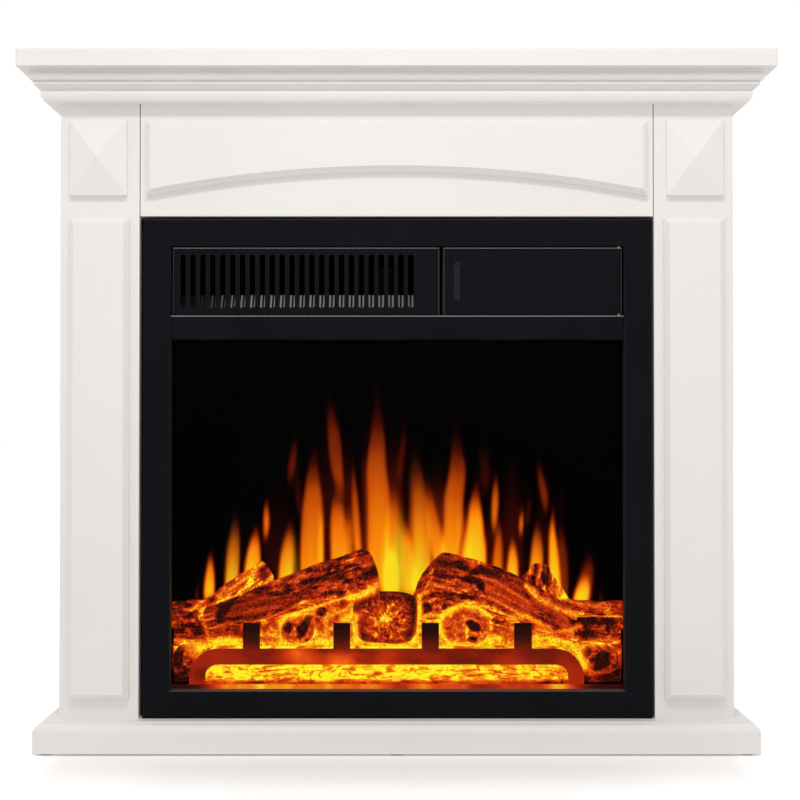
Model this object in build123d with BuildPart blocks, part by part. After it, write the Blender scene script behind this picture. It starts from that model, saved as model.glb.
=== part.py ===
from build123d import *
from math import cos, radians, sin
import os

# Freestanding electric fireplace: a white mantel of painted boards and mouldings round a black
# plug-in firebox insert, with a fan heater and its controls above the window and a lit log set below.
# Millimetres, +Z up, the front faces -Y. The origin is on the floor, under the middle of the mantel.

os.makedirs("parts", exist_ok=True)

# ---------------------------------------------------------------- driving dimensions
shelf_width = 813.0          # whole width, the top board
shelf_depth = 240.0          # whole depth
shelf_thick = 18.5
height = 755.5               # floor to the top of the shelf
glide_height = 1.5           # felt and nylon glides under the plinth
front = -shelf_depth / 2     # front edge of the shelf
rear = shelf_depth / 2
shelf_under = height - shelf_thick

face = -81.2                 # front plane of pilasters, header and insert
board_thick = 15.0
leg_outer = 367.5            # outer side of each pilaster, from the middle
leg_inner = 281.2            # joint of pilaster and header, and the side of the opening
opening_top = 581.6
ledge = 33.9                 # top of the plinth, where pilasters and insert stand
groove = 0.4                 # chamfer of the pilaster along the header joint
joint_gap = 1.0              # shadow gap in the front of that joint
plinth_width = 25.0          # plinth moulding, front to back

crown_low = 704.5            # underside of the crown moulding
panel_bevel = 5.3
panel_thick = 11.0
panel_centre = 323.9         # middle of the pilaster panels and rosettes, from the middle

insert_x = 0.6               # the insert stands a little right of the middle
frame_width = 555.4
frame_top = 578.5
frame_border = 29.7
frame_depth = 13.0
frame_back = face + frame_depth
sheet = 1.2                  # casing sheet steel
reveal = 1.5                 # grille, door and rail sit this far behind the frame's face
case_half = 262.0            # half the inner width of the firebox casing
case_top = 572.0
case_back = 110.0
shelf_z = 448.8              # underside of the heater shelf

rail_low = 446.6             # lower rail, under the grille and the door
rail_top = 473.2
band_low = 473.7             # grille and door
band_top = 547.7
grille_right = 46.7
door_left = 51.0
door_right = 246.4
door_thick = 3.0
hinge_x = 243.0
pin_radius = 1.3
fit = 0.05                   # radial clearance of a shaft or pin that turns

panel_face = -58.0           # front of the control panel, behind the door
panel_plate = 2.0
controls_z = 510.0
glass_thick = 3.0
glass_back = frame_back + glass_thick
screen_y = 14.0              # front of the flame screen
fan_y, fan_z, fan_radius = 24.0, 512.0, 24.0
rotor_y, rotor_z, rotor_radius = 62.0, 96.0, 18.0


# ---------------------------------------------------------------- helpers
def save(piece, name):
    """Label a finished piece and write its STEP file."""
    piece.part.label = name
    export_step(piece.part, f"parts/{name}.step")


def front_plane(y):
    """A sketch plane facing the front at depth y, whose own x and y are X and Z."""
    return Plane(origin=(0, y, 0), x_dir=(1, 0, 0), z_dir=(0, -1, 0))


def section_plane(x):
    """A sketch plane across the width at x, whose own x and y are Y and Z."""
    return Plane(origin=(x, 0, 0), x_dir=(0, 1, 0), z_dir=(1, 0, 0))


def slab(x, y, z):
    """A plain rectangular board or sheet between the given pairs of X, Y and Z."""
    with BuildPart() as piece:
        with BuildSketch(Plane.XY.offset(z[0])):
            with Locations(((x[0] + x[1]) / 2, (y[0] + y[1]) / 2)):
                Rectangle(x[1] - x[0], y[1] - y[0])
        extrude(amount=z[1] - z[0])
    return piece


def mirrored(x, side):
    """The pair of X values on the given side, left -1 or right +1, in rising order."""
    return tuple(sorted((side * x[0], side * x[1])))


sides = {"left": -1, "right": 1}


# ---------------------------------------------------------------- mantel: shelf, crown and plinth
with BuildPart() as mantel_shelf:
    with BuildSketch(Plane.XY.offset(shelf_under)):
        Rectangle(shelf_width, shelf_depth)
    extrude(amount=shelf_thick)
    fillet(mantel_shelf.edges().filter_by(Axis.Z), radius=2.0)
    fillet(mantel_shelf.faces().sort_by(Axis.Z)[-1].edges(), radius=1.2)
save(mantel_shelf, "mantel_shelf")


def crown_section(plane):
    """Crown moulding: outward from the wall in x, height in y: bead, square fillet and cove over an ovolo."""
    top_out, bead, quirk, fillet_out, low_bead, foot = 25.0, 28.8, 22.6, 24.0, 17.9, 14.3
    with BuildSketch(plane) as section:
        with BuildLine():
            Polyline((0, shelf_under), (0, crown_low), (foot, crown_low))
            # lower ovolo with a rounded top, then a cove up to a square fillet
            ThreePointArc((foot, crown_low), (low_bead - 0.9, crown_low + 4.2), (low_bead, crown_low + 8.2))
            ThreePointArc((low_bead, crown_low + 8.2), (low_bead - 0.7, crown_low + 10.3),
                          (low_bead - 2.4, crown_low + 11.2))
            ThreePointArc((low_bead - 2.4, crown_low + 11.2), (low_bead - 0.6, crown_low + 15.0),
                          (fillet_out, crown_low + 16.4))
            Polyline((fillet_out, crown_low + 16.4), (fillet_out, crown_low + 17.9),
                     (quirk, crown_low + 18.6), (quirk, crown_low + 20.8))
            # upper bead, then a small cove up to the shelf
            ThreePointArc((quirk, crown_low + 20.8), (bead, crown_low + 24.4),
                          (top_out + 1.0, crown_low + 28.4))
            ThreePointArc((top_out + 1.0, crown_low + 28.4), (top_out - 0.2, crown_low + 30.2),
                          (top_out, shelf_under))
            Line((top_out, shelf_under), (0, shelf_under))
        make_face()
    return section


def plinth_section(plane):
    """Plinth moulding: outward from the pilasters in x, height in y, a board with an ovolo on top."""
    shoulder, ovolo_in, ovolo_top = 24.5, 13.5, 32.4
    with BuildSketch(plane) as section:
        with BuildLine():
            Polyline((0, ledge), (0, glide_height), (plinth_width, glide_height), (plinth_width, shoulder))
            ThreePointArc((plinth_width, shoulder), (plinth_width - 3.3, shoulder + 5.9),
                          (ovolo_in, ovolo_top))
            Polyline((ovolo_in, ovolo_top), (ovolo_in, ledge), (0, ledge))
        make_face()
    return section


def mitred_front(section, half):
    """A moulding along the front, mitred at both ends round a block of the given half width."""
    with BuildPart() as piece:
        profile = section(Plane(origin=(0, face, 0), x_dir=(0, -1, 0), z_dir=(-1, 0, 0)))
        extrude(profile.sketch, amount=half + plinth_width + 5, both=True)
        for side in sides.values():
            split(bisect_by=Plane(origin=(side * half, face, 0), z_dir=(-side, -1, 0)), keep=Keep.TOP)
    return piece


def mitred_return(section, half, side):
    """The same moulding along one side, from the mitre back to the rear."""
    with BuildPart() as piece:
        profile = section(Plane(origin=(side * half, rear, 0), x_dir=(side, 0, 0), z_dir=(0, -side, 0)))
        extrude(profile.sketch, amount=side * (rear - face + plinth_width + 5))
        split(bisect_by=Plane(origin=(side * half, face, 0), z_dir=(-side, -1, 0)), keep=Keep.BOTTOM)
    return piece


plinth_half = 390.0 - plinth_width
save(mitred_front(crown_section, leg_outer), "crown_front")
save(mitred_front(plinth_section, plinth_half), "plinth_front")
for hand, side in sides.items():
    save(mitred_return(crown_section, leg_outer, side), f"crown_{hand}")
    save(mitred_return(plinth_section, plinth_half, side), f"plinth_{hand}")

deck_back = 112.0
save(slab((-plinth_half, plinth_half), (face, deck_back), (ledge - board_thick, ledge)), "plinth_deck")

with BuildPart() as floor_glides:
    with BuildSketch():
        with GridLocations(2 * 376.0, 0, 2, 1):
            with Locations((0, -93.0), (0, 105.0)):
                Circle(11)
        with Locations((0, -93.0)):
            Circle(11)
    extrude(amount=glide_height)
save(floor_glides, "floor_glides")


# ---------------------------------------------------------------- mantel: pilasters, header, sides
for hand, side in sides.items():
    with BuildPart() as pilaster:
        with BuildSketch(Plane.XY.offset(ledge)):
            with Locations((side * (leg_inner + leg_outer) / 2, face + board_thick / 2)):
                Rectangle(leg_outer - leg_inner, board_thick)
        extrude(amount=shelf_under - ledge)
        front_edges = pilaster.faces().sort_by(Axis.Y)[0].edges().filter_by(Axis.Z).sort_by(Axis.X)
        chamfer(front_edges[0 if side > 0 else -1], length=groove)
        outer_edges = pilaster.faces().sort_by(Axis.Y)[0].edges().filter_by(Axis.Z).sort_by(Axis.X)
        fillet(outer_edges[-1 if side > 0 else 0], radius=0.8)
    save(pilaster, f"pilaster_{hand}")

    with BuildPart() as panel:
        with BuildSketch(front_plane(face)):
            with Locations((side * panel_centre, (56.6 + 578.5) / 2)):
                Rectangle(65.3, 578.5 - 56.6)
        extrude(amount=panel_thick)
        chamfer(panel.faces().sort_by(Axis.Y)[0].edges(), length=panel_bevel)
    save(panel, f"pilaster_panel_{hand}")

    rosette_edge, rosette_rise = 6.0, 10.0
    with BuildPart() as rosette:
        with BuildSketch(front_plane(face)):
            with Locations((side * (panel_centre + 1.3), 644.9)):
                Rectangle(61.5, 81.9)
        extrude(amount=rosette_edge)
        with BuildSketch(front_plane(face - rosette_edge)):
            with Locations((side * (panel_centre + 1.3), 644.9)):
                Rectangle(61.5, 81.9)
        with BuildSketch(front_plane(face - rosette_edge - rosette_rise)):
            with Locations((side * (panel_centre + 1.3), 644.9)):
                Rectangle(0.8, 0.8)
        loft()
    save(rosette, f"rosette_{hand}")

    side_x = mirrored((leg_outer - board_thick, leg_outer), side)
    save(slab(side_x, (face + board_thick, rear), (ledge, shelf_under)), f"side_panel_{hand}")

with BuildPart() as header_board:
    with BuildSketch(front_plane(face + board_thick)):
        with Locations((0, (opening_top + shelf_under) / 2)):
            Rectangle(2 * leg_inner, shelf_under - opening_top)
    extrude(amount=board_thick)
    fillet(header_board.faces().sort_by(Axis.Y)[0].edges().sort_by(Axis.Z)[0], radius=0.8)
    with BuildSketch(front_plane(face + 9.0)):
        with Locations(*[(side * (leg_inner - joint_gap / 2), (opening_top + shelf_under) / 2)
                         for side in (-1, 1)]):
            Rectangle(joint_gap, shelf_under - opening_top)
    extrude(amount=9.0, mode=Mode.SUBTRACT)
save(header_board, "header_board")

arch_half, arch_top, arch_crown, arch_radius = 273.3, 685.5, 630.1, 1405.0
arch_end = arch_crown - (arch_radius - (arch_radius ** 2 - arch_half ** 2) ** 0.5)
with BuildPart() as header_arch_panel:
    with BuildSketch(front_plane(face)):
        with BuildLine():
            ThreePointArc((-arch_half, arch_end), (0, arch_crown), (arch_half, arch_end))
            Polyline((arch_half, arch_end), (arch_half, arch_top), (-arch_half, arch_top),
                     (-arch_half, arch_end))
        make_face()
    extrude(amount=panel_thick)
    chamfer(header_arch_panel.faces().sort_by(Axis.Y)[0].edges(), length=panel_bevel)
save(header_arch_panel, "header_arch_panel")

rail_half = leg_outer - board_thick
rail_y, rail_z = (rear - board_thick, rear), (shelf_under - 70.0, shelf_under)
save(slab((-rail_half, rail_half), rail_y, rail_z), "rear_top_rail")


# ---------------------------------------------------------------- insert: front frame, rail, glass
frame_half = frame_width / 2
window_half = frame_half - frame_border
frame_mid = (ledge + frame_top) / 2
window_low, window_top = ledge + frame_border, frame_top - frame_border
with BuildPart() as front_frame:
    with BuildSketch(front_plane(frame_back)):
        with Locations((insert_x, frame_mid)):
            Rectangle(frame_width, frame_top - ledge)
            Rectangle(2 * window_half, window_top - window_low, mode=Mode.SUBTRACT)
    extrude(amount=frame_depth)
    fillet(front_frame.faces().sort_by(Axis.Y)[0].edges(), radius=1.0)
    with BuildSketch(front_plane(frame_back)):
        with Locations((insert_x, frame_mid)):
            Rectangle(frame_width - 2 * sheet, frame_top - ledge - 2 * sheet)
            Rectangle(2 * (window_half + sheet), window_top - window_low + 2 * sheet, mode=Mode.SUBTRACT)
    extrude(amount=frame_depth - sheet - 0.3, mode=Mode.SUBTRACT)
    with BuildSketch(Plane.XY.offset(window_top - 1)):
        with Locations((hinge_x, face + reveal + door_thick / 2)):
            Circle(pin_radius + fit)
    extrude(amount=sheet + 2, mode=Mode.SUBTRACT)
save(front_frame, "front_frame")

rail_y = (face + reveal, frame_back)
with BuildPart() as lower_rail:
    with BuildSketch(Plane.XY.offset(rail_low)):
        with Locations((insert_x, sum(rail_y) / 2)):
            Rectangle(2 * window_half - 0.8, rail_y[1] - rail_y[0])
    extrude(amount=rail_top - rail_low)
    chamfer(lower_rail.faces().sort_by(Axis.Y)[0].edges().filter_by(Axis.X), length=1.3)
    with BuildSketch(front_plane(frame_back + sheet)):
        with Locations((insert_x, (rail_low + rail_top) / 2 + 4)):
            Rectangle(2 * window_half + 14, 16)
    extrude(amount=sheet)
    with BuildSketch(Plane.XY.offset(rail_top)):
        with Locations((hinge_x, rail_y[0] + door_thick / 2)):
            Circle(pin_radius + fit)
    extrude(amount=-8, mode=Mode.SUBTRACT)
    with BuildSketch(Plane.XY.offset(rail_top)):
        with Locations((hinge_x, rail_y[0] + door_thick / 2)):
            Rectangle(3.8, door_thick + 0.2)
    extrude(amount=-1.0, mode=Mode.SUBTRACT)
save(lower_rail, "lower_rail")

glass_half, glass_low, glass_high = window_half + 5.0, window_low - 5.0, rail_low + 5.0
with BuildPart() as front_glass:
    with BuildSketch(front_plane(glass_back)):
        with Locations((insert_x, (glass_low + glass_high) / 2)):
            Rectangle(2 * glass_half, glass_high - glass_low)
    extrude(amount=glass_thick)
    chamfer(front_glass.edges().group_by(Axis.Y)[0], length=0.3)
save(front_glass, "front_glass")

clip_length, clip_lap, clip_foot = 16.0, 7.0, 3.0
with BuildPart() as glass_clips:
    for side in sides.values():
        for clip_z in (120.0, 255.0, 390.0):
            with BuildSketch(Plane.XY.offset(clip_z - clip_length / 2)):
                edge = insert_x + side * (glass_half + 0.3)
                with Locations((edge + side * clip_foot / 2, (frame_back + glass_back) / 2)):
                    Rectangle(clip_foot, glass_thick)
                with Locations((edge + side * (clip_foot - clip_lap) / 2, glass_back + sheet / 2)):
                    Rectangle(clip_foot + clip_lap, sheet)
            extrude(amount=clip_length)
save(glass_clips, "glass_clips")


# ---------------------------------------------------------------- insert: grille, door and hinge
slot_count, slot_pitch, slot_width, slot_height, first_slot = 24, 10.85, 6.2, 58.6, -234.0
grille_left = -245.0
plate_y = (face + reveal, face + reveal + 2.0)
with BuildPart() as heater_grille:
    with BuildSketch(front_plane(plate_y[1])):
        with Locations(((grille_left + grille_right) / 2, (band_low + band_top) / 2)):
            Rectangle(grille_right - grille_left, band_top - band_low)
        for slot in range(slot_count):
            with Locations((first_slot + slot * slot_pitch, (band_low + band_top) / 2)):
                SlotOverall(slot_height, slot_width, rotation=90, mode=Mode.SUBTRACT)
    extrude(amount=plate_y[1] - plate_y[0])
    chamfer(heater_grille.faces().sort_by(Axis.Y)[0].outer_wire().edges(), length=1.2)
    for web_x in (grille_left + 1.6, grille_right - 1.6):
        with BuildSketch(front_plane(frame_back)):
            with Locations((web_x, (band_low + band_top) / 2)):
                Rectangle(sheet, band_top - band_low - 6)
        extrude(amount=frame_back - plate_y[1])
save(heater_grille, "heater_grille")

door_y = (face + reveal, face + reveal + door_thick)
pull_left, pull_right, pull_low, pull_top, pull_cut = 62.4, 68.9, 490.2, 532.9, 5.2
with BuildPart() as control_door:
    with BuildSketch(front_plane(door_y[1])):
        with Locations(((door_left + door_right) / 2, (band_low + band_top) / 2)):
            Rectangle(door_right - door_left, band_top - band_low)
    extrude(amount=door_thick)
    chamfer(control_door.faces().sort_by(Axis.Y)[0].edges(), length=1.2)
    with BuildSketch(front_plane(door_y[0])):
        Polygon((pull_left, pull_low), (pull_right, pull_low + pull_cut), (pull_right, pull_top - pull_cut),
                (pull_left, pull_top), align=None)
    extrude(amount=-1.8, mode=Mode.SUBTRACT)
    for end_z, depth in ((band_low, 10.0), (band_top, -10.0)):
        with BuildSketch(Plane.XY.offset(end_z)):
            with Locations((hinge_x, sum(door_y) / 2)):
                Circle(pin_radius + fit)
        extrude(amount=depth, mode=Mode.SUBTRACT)
    with BuildSketch(Plane.XY.offset(band_low)):
        with Locations((hinge_x, sum(door_y) / 2)):
            Rectangle(3.8, door_thick + 0.2)
    extrude(amount=1.2, mode=Mode.SUBTRACT)
save(control_door, "control_door")

with BuildPart() as door_hinge_pins:
    for low, high in ((rail_top - 7.0, band_low + 9.5), (band_top - 9.5, window_top + 2.0)):
        with BuildSketch(Plane.XY.offset(low)):
            with Locations((hinge_x, sum(door_y) / 2)):
                Circle(pin_radius)
        extrude(amount=high - low)
save(door_hinge_pins, "door_hinge_pins")

catch_gap = 0.3
with BuildPart() as door_catch:
    with BuildSketch(front_plane(panel_face)):
        with Locations((57.0, controls_z)):
            Rectangle(7.0, 20.0)
    extrude(amount=panel_face - door_y[1] - catch_gap)
    fillet(door_catch.edges().filter_by(Axis.Y), radius=1.0)
save(door_catch, "door_catch")


# ---------------------------------------------------------------- insert: controls behind the door
rocker_width, rocker_height = 12.4, 17.2
rockers = {"power_rocker": 92.0, "heat_rocker": 120.0}
knobs = {"thermostat_knob": 160.0, "flame_dimmer_knob": 202.0}
shaft_radius = 3.0
with BuildPart() as control_panel:
    with BuildSketch(front_plane(panel_face + panel_plate)):
        with Locations((153.5, (shelf_z + sheet + 568.0) / 2)):
            Rectangle(207.0, 568.0 - shelf_z - sheet)
    extrude(amount=panel_plate)
    for x in rockers.values():
        with BuildSketch(front_plane(panel_face)):
            with Locations((x, controls_z)):
                RectangleRounded(rocker_width + 5.0, rocker_height + 6.4, 1.5)
        extrude(amount=1.5)
        with BuildSketch(front_plane(panel_face + panel_plate)):
            with Locations((x, controls_z)):
                Rectangle(rocker_width + 1.0, rocker_height + 2.6)
        extrude(amount=panel_plate + 1.5, mode=Mode.SUBTRACT)
    for x in knobs.values():
        with BuildSketch(front_plane(panel_face)):
            with Locations((x, controls_z)):
                Circle(13.5)
                Circle(12.6, mode=Mode.SUBTRACT)
        extrude(amount=0.5)
        with BuildSketch(front_plane(panel_face + panel_plate)):
            with Locations((x, controls_z)):
                Circle(shaft_radius + fit)
        extrude(amount=panel_plate + 1.5, mode=Mode.SUBTRACT)
save(control_panel, "control_panel")

rocker_tilt = radians(8.0)   # off: the lower half is pressed in and the upper half stands out
tilted = (0, cos(rocker_tilt), sin(rocker_tilt))
for name, x in rockers.items():
    pivot = Plane(origin=(x - rocker_width / 2, panel_face, controls_z), x_dir=tilted, z_dir=(1, 0, 0))
    with BuildPart() as rocker:
        with BuildSketch(pivot) as rocker_side:
            with BuildLine():
                Polyline((-5.2, rocker_height / 2), (-3.4, 0), (-5.2, -rocker_height / 2),
                         (1.5, -rocker_height / 2 + 1.2), (1.5, rocker_height / 2 - 1.2),
                         (-5.2, rocker_height / 2))
            make_face()
            fillet(rocker_side.vertices(), radius=0.5)
        extrude(amount=rocker_width)
    save(rocker, name)

for name, x in knobs.items():
    with BuildPart() as knob:
        with BuildSketch(front_plane(panel_face - 0.8)):
            with Locations((x, controls_z)):
                Circle(11.0)
        extrude(amount=2.6)
        with BuildSketch(front_plane(panel_face - 3.4)):
            with Locations((x, controls_z)):
                Circle(8.6)
                with PolarLocations(8.6, 20):
                    Circle(0.55, mode=Mode.SUBTRACT)
        extrude(amount=8.6, taper=3)
        with BuildSketch(front_plane(panel_face - 12.0)):
            with Locations((x, controls_z + 4.6)):
                Rectangle(1.6, 6.0)
        extrude(amount=0.7)
        with BuildSketch(front_plane(panel_face - 0.8)):
            with Locations((x, controls_z)):
                Circle(shaft_radius)
        extrude(amount=-9.0)
    save(knob, name)

with BuildPart() as control_board:
    with BuildSketch(Plane.XY.offset(shelf_z + sheet + 6.0)):
        with Locations((152.0, 12.0)):
            Rectangle(150.0, 84.0)
    extrude(amount=1.6)
    with BuildSketch(Plane.XY.offset(shelf_z + sheet)):
        with Locations((152.0, 12.0)):
            with GridLocations(138.0, 72.0, 2, 2):
                Circle(3.2)
    extrude(amount=6.0)
    with BuildSketch(Plane.XY.offset(shelf_z + sheet + 7.6)):
        with Locations((112.0, 28.0), (140.0, 28.0)):
            Rectangle(19.0, 15.5)
    extrude(amount=15.5)
    with BuildSketch(Plane.XY.offset(shelf_z + sheet + 7.6)):
        with Locations((180.0, 30.0)):
            Circle(8.0)
        with Locations((168.0, -6.0), (200.0, -6.0)):
            Rectangle(10.0, 18.0)
    extrude(amount=11.0)
save(control_board, "control_board")


# ---------------------------------------------------------------- insert: casing
case_left, case_right = insert_x - case_half, insert_x + case_half
case_low = ledge + sheet
save(slab((case_left, case_right), (frame_back, case_back), (ledge, case_low)), "firebox_floor")
save(slab((case_left, case_right), (frame_back, case_back), (case_top - sheet, case_top)), "firebox_top")
save(slab((case_left, case_right), (glass_back + 2, case_back), (shelf_z, shelf_z + sheet)), "heater_shelf")

bearing_radius = 2.5 + fit
for hand, side in sides.items():
    inner = insert_x + side * case_half
    with BuildPart() as wall:
        with BuildSketch(Plane.XY.offset(ledge)):
            with Locations((inner + side * sheet / 2, (frame_back + case_back) / 2)):
                Rectangle(sheet, case_back - frame_back)
        extrude(amount=case_top - ledge)
        with BuildSketch(section_plane(inner)):
            with Locations((rotor_y, rotor_z)):
                Circle(bearing_radius)
        extrude(amount=2 * side * sheet, mode=Mode.SUBTRACT)
    save(wall, f"firebox_{hand}_wall")

cover_half, cover_low, cover_top = case_half + 8.0, ledge + 1.0, case_top + 4.0
screw_x = [insert_x + x for x in (-266.0, 266.0)]
screw_z = [50.0, 220.0, 390.0, 560.0]
cord_hole = insert_x + 225.0
with BuildPart() as rear_cover:
    with BuildSketch(front_plane(case_back + sheet)):
        with Locations((insert_x, (cover_low + cover_top) / 2)):
            Rectangle(2 * cover_half, cover_top - cover_low)
        with Locations((insert_x - 127.0, 515.0)):
            with GridLocations(12.0, 0, 17, 1):
                SlotOverall(62.0, 4.5, rotation=90, mode=Mode.SUBTRACT)
        with Locations((insert_x, 80.0)):
            with GridLocations(14.0, 0, 15, 1):
                SlotOverall(26.0, 4.5, rotation=90, mode=Mode.SUBTRACT)
        with Locations(*[(x, z) for x in screw_x for z in screw_z]):
            Circle(1.8, mode=Mode.SUBTRACT)
        with Locations((cord_hole, 70.0)):
            Circle(8.0, mode=Mode.SUBTRACT)
    extrude(amount=sheet)
save(rear_cover, "rear_cover")

with BuildPart() as cable_gland:
    with BuildSketch(front_plane(case_back - 4.0)):
        with Locations((cord_hole, 70.0)):
            Circle(7.9)
            Circle(3.6, mode=Mode.SUBTRACT)
    extrude(amount=-(4.0 + sheet))
    with BuildSketch(front_plane(case_back + sheet)):
        with Locations((cord_hole, 70.0)):
            RegularPolygon(11.0, 6)
            Circle(3.6, mode=Mode.SUBTRACT)
    extrude(amount=-5.5)
save(cable_gland, "cable_gland")

flange_y, flange_top = (face + board_thick, face + board_thick + 2.0), 592.0
flange_screw_z = (165.0, 485.0)
with BuildPart() as insert_brackets:
    for side in sides.values():
        wall_x = insert_x + side * (case_half + sheet)
        with BuildSketch(Plane.XY.offset(ledge)):
            with Locations(((wall_x + side * 308.0) / 2, sum(flange_y) / 2)):
                Rectangle(abs(side * 308.0 - wall_x), 2.0)
            with Locations((wall_x + side * 1.0, flange_y[0] + 15.0)):
                Rectangle(2.0, 30.0)
        extrude(amount=flange_top - ledge)
    with BuildSketch(section_plane(insert_x - case_half - sheet)):
        with Locations((sum(flange_y) / 2, (case_top + flange_top) / 2)):
            Rectangle(2.0, flange_top - case_top)
        with Locations((flange_y[0] + 15.0, case_top + 1.0)):
            Rectangle(30.0, 2.0)
    extrude(amount=2 * (case_half + sheet))
save(insert_brackets, "insert_brackets")

with BuildPart() as casing_screws:
    with BuildSketch(front_plane(case_back + sheet)):
        with Locations(*[(x, z) for x in screw_x for z in screw_z]):
            Circle(3.6)
    extrude(amount=-2.2)
    with BuildSketch(front_plane(case_back - 6.0)):
        with Locations(*[(x, z) for x in screw_x for z in screw_z]):
            Circle(1.6)
    extrude(amount=-(6.0 + sheet))
    with BuildSketch(front_plane(face + board_thick + 2.0)):
        with Locations(*[(side * 298.0, z) for side in (-1, 1) for z in flange_screw_z]):
            Circle(3.6)
    extrude(amount=-2.2)
    with BuildSketch(front_plane(case_back + sheet + 2.2)):
        for x in screw_x:
            for z in screw_z:
                with Locations((x, z)):
                    Rectangle(4.2, 0.9)
                    Rectangle(0.9, 4.2)
    extrude(amount=1.2, mode=Mode.SUBTRACT)
save(casing_screws, "casing_screws")


# ---------------------------------------------------------------- insert: heater
wheel_x = (-222.0, -30.0)
with BuildPart() as blower_wheel:
    for x in (wheel_x[0], (wheel_x[0] + wheel_x[1]) / 2, wheel_x[1] - 1.5):
        with BuildSketch(section_plane(x)):
            with Locations((fan_y, fan_z)):
                Circle(fan_radius)
        extrude(amount=1.5)
    with BuildSketch(section_plane(wheel_x[0])):
        with Locations((fan_y, fan_z)):
            with PolarLocations(fan_radius - 4.2, 22):
                Rectangle(7.6, 0.9, rotation=35)
    extrude(amount=wheel_x[1] - wheel_x[0])
    with BuildSketch(section_plane(wheel_x[0] - 8.0)):
        with Locations((fan_y, fan_z)):
            Circle(2.0)
    extrude(amount=wheel_x[1] - wheel_x[0] + 28.0)
save(blower_wheel, "blower_wheel")

scroll_radius, scroll_gap = 31.0, 4.0
with BuildPart() as blower_housing:
    with BuildSketch(section_plane(wheel_x[0] - scroll_gap)):
        with Locations((fan_y, fan_z)):
            Circle(scroll_radius)
            Circle(scroll_radius - sheet, mode=Mode.SUBTRACT)
        with Locations((fan_y - 29.0, fan_z - 19.0)):
            Rectangle(64.0, 2 * sheet + 22.0)
        with Locations((fan_y - 29.0, fan_z - 19.0)):
            Rectangle(70.0, 22.0, mode=Mode.SUBTRACT)
        with Locations((fan_y, fan_z)):
            Circle(scroll_radius - sheet, mode=Mode.SUBTRACT)
        with Locations((fan_y + 6.0, fan_z + 26.0)):
            Rectangle(34.0, 20.0, mode=Mode.SUBTRACT)
    extrude(amount=wheel_x[1] - wheel_x[0] + 2 * scroll_gap)
    for x in (wheel_x[0] - scroll_gap, wheel_x[1] + scroll_gap - sheet):
        with BuildSketch(section_plane(x)):
            with Locations((fan_y, fan_z)):
                Circle(scroll_radius)
                Circle(2.0 + fit, mode=Mode.SUBTRACT)
        extrude(amount=sheet)
save(blower_housing, "blower_housing")

motor_x = wheel_x[1] + 8.0
with BuildPart() as blower_motor:
    with BuildSketch(section_plane(motor_x)):
        with Locations((fan_y, fan_z)):
            RectangleRounded(46.0, 50.0, 4.0)
            Circle(2.0 + fit, mode=Mode.SUBTRACT)
    extrude(amount=18.0)
    with BuildSketch(section_plane(motor_x + 18.0)):
        with Locations((fan_y, fan_z)):
            Circle(17.0)
    extrude(amount=14.0)
    with BuildSketch(Plane.XY.offset(shelf_z + sheet)):
        with Locations((motor_x + 9.0, fan_y)):
            Rectangle(14.0, 40.0)
    extrude(amount=fan_z - 25.0 - shelf_z - sheet)
save(blower_motor, "blower_motor")

element_y = -50.0
with BuildPart() as heating_element:
    for x in (wheel_x[0], -126.0, wheel_x[1] - 2.0):
        with BuildSketch(section_plane(x)):
            with Locations((element_y, shelf_z + sheet + 24.0)):
                Rectangle(12.0, 48.0)
        extrude(amount=2.0)
    with BuildSketch(section_plane(wheel_x[0])):
        with Locations((element_y, shelf_z + sheet + 25.0)):
            with GridLocations(0, 6.4, 1, 6):
                Circle(1.9)
    extrude(amount=wheel_x[1] - wheel_x[0])
save(heating_element, "heating_element")

deflector_x = (-238.0, 20.0)
lip_low, lip_high, shelf_deck = band_low + 1.2, band_low + 21.2, shelf_z + sheet
with BuildPart() as outlet_deflector:
    with BuildSketch(section_plane(deflector_x[0])):
        Polygon((-76.6, lip_low + 0.8), (-75.6, lip_low), (-60.8, lip_high), (-60.8, shelf_deck),
                (-59.6, shelf_deck), (-59.6, lip_high + 1.2), (-60.6, lip_high + 2.2), align=None)
    extrude(amount=deflector_x[1] - deflector_x[0])
save(outlet_deflector, "outlet_deflector")


# ---------------------------------------------------------------- insert: flame effect
screen_x = (case_left + 1, case_right - 1)
save(slab(screen_x, (screen_y, screen_y + 2.0), (case_low, shelf_z)), "flame_screen")

rotor_x = (-218.0, 178.0)
flag_count = 30
with BuildPart() as flame_rotor:
    with BuildSketch(section_plane(case_left - sheet)):
        with Locations((rotor_y, rotor_z)):
            Circle(2.5)
    extrude(amount=rotor_x[1] + 14.0 - case_left + sheet)
    for flag in range(flag_count):
        x = rotor_x[0] + flag * (rotor_x[1] - rotor_x[0]) / (flag_count - 1)
        with BuildSketch(section_plane(x)):
            with Locations((rotor_y, rotor_z)):
                Rectangle(2 * rotor_radius, 7.0, rotation=flag * 50)
        extrude(amount=0.8)
save(flame_rotor, "flame_rotor")

with BuildPart() as flame_motor:
    with BuildSketch(section_plane(rotor_x[1] + 6.0)):
        with Locations((rotor_y, rotor_z)):
            Circle(24.0)
            Circle(bearing_radius, mode=Mode.SUBTRACT)
    extrude(amount=9.0)
    with BuildSketch(section_plane(rotor_x[1] + 15.0)):
        with Locations((rotor_y, rotor_z)):
            Circle(24.0)
    extrude(amount=9.0)
    with BuildSketch(Plane.XY.offset(case_low)):
        with Locations((rotor_x[1] + 14.0, rotor_y)):
            Rectangle(12.0, 30.0)
    extrude(amount=rotor_z - 22.0 - case_low)
save(flame_motor, "flame_motor")

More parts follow.
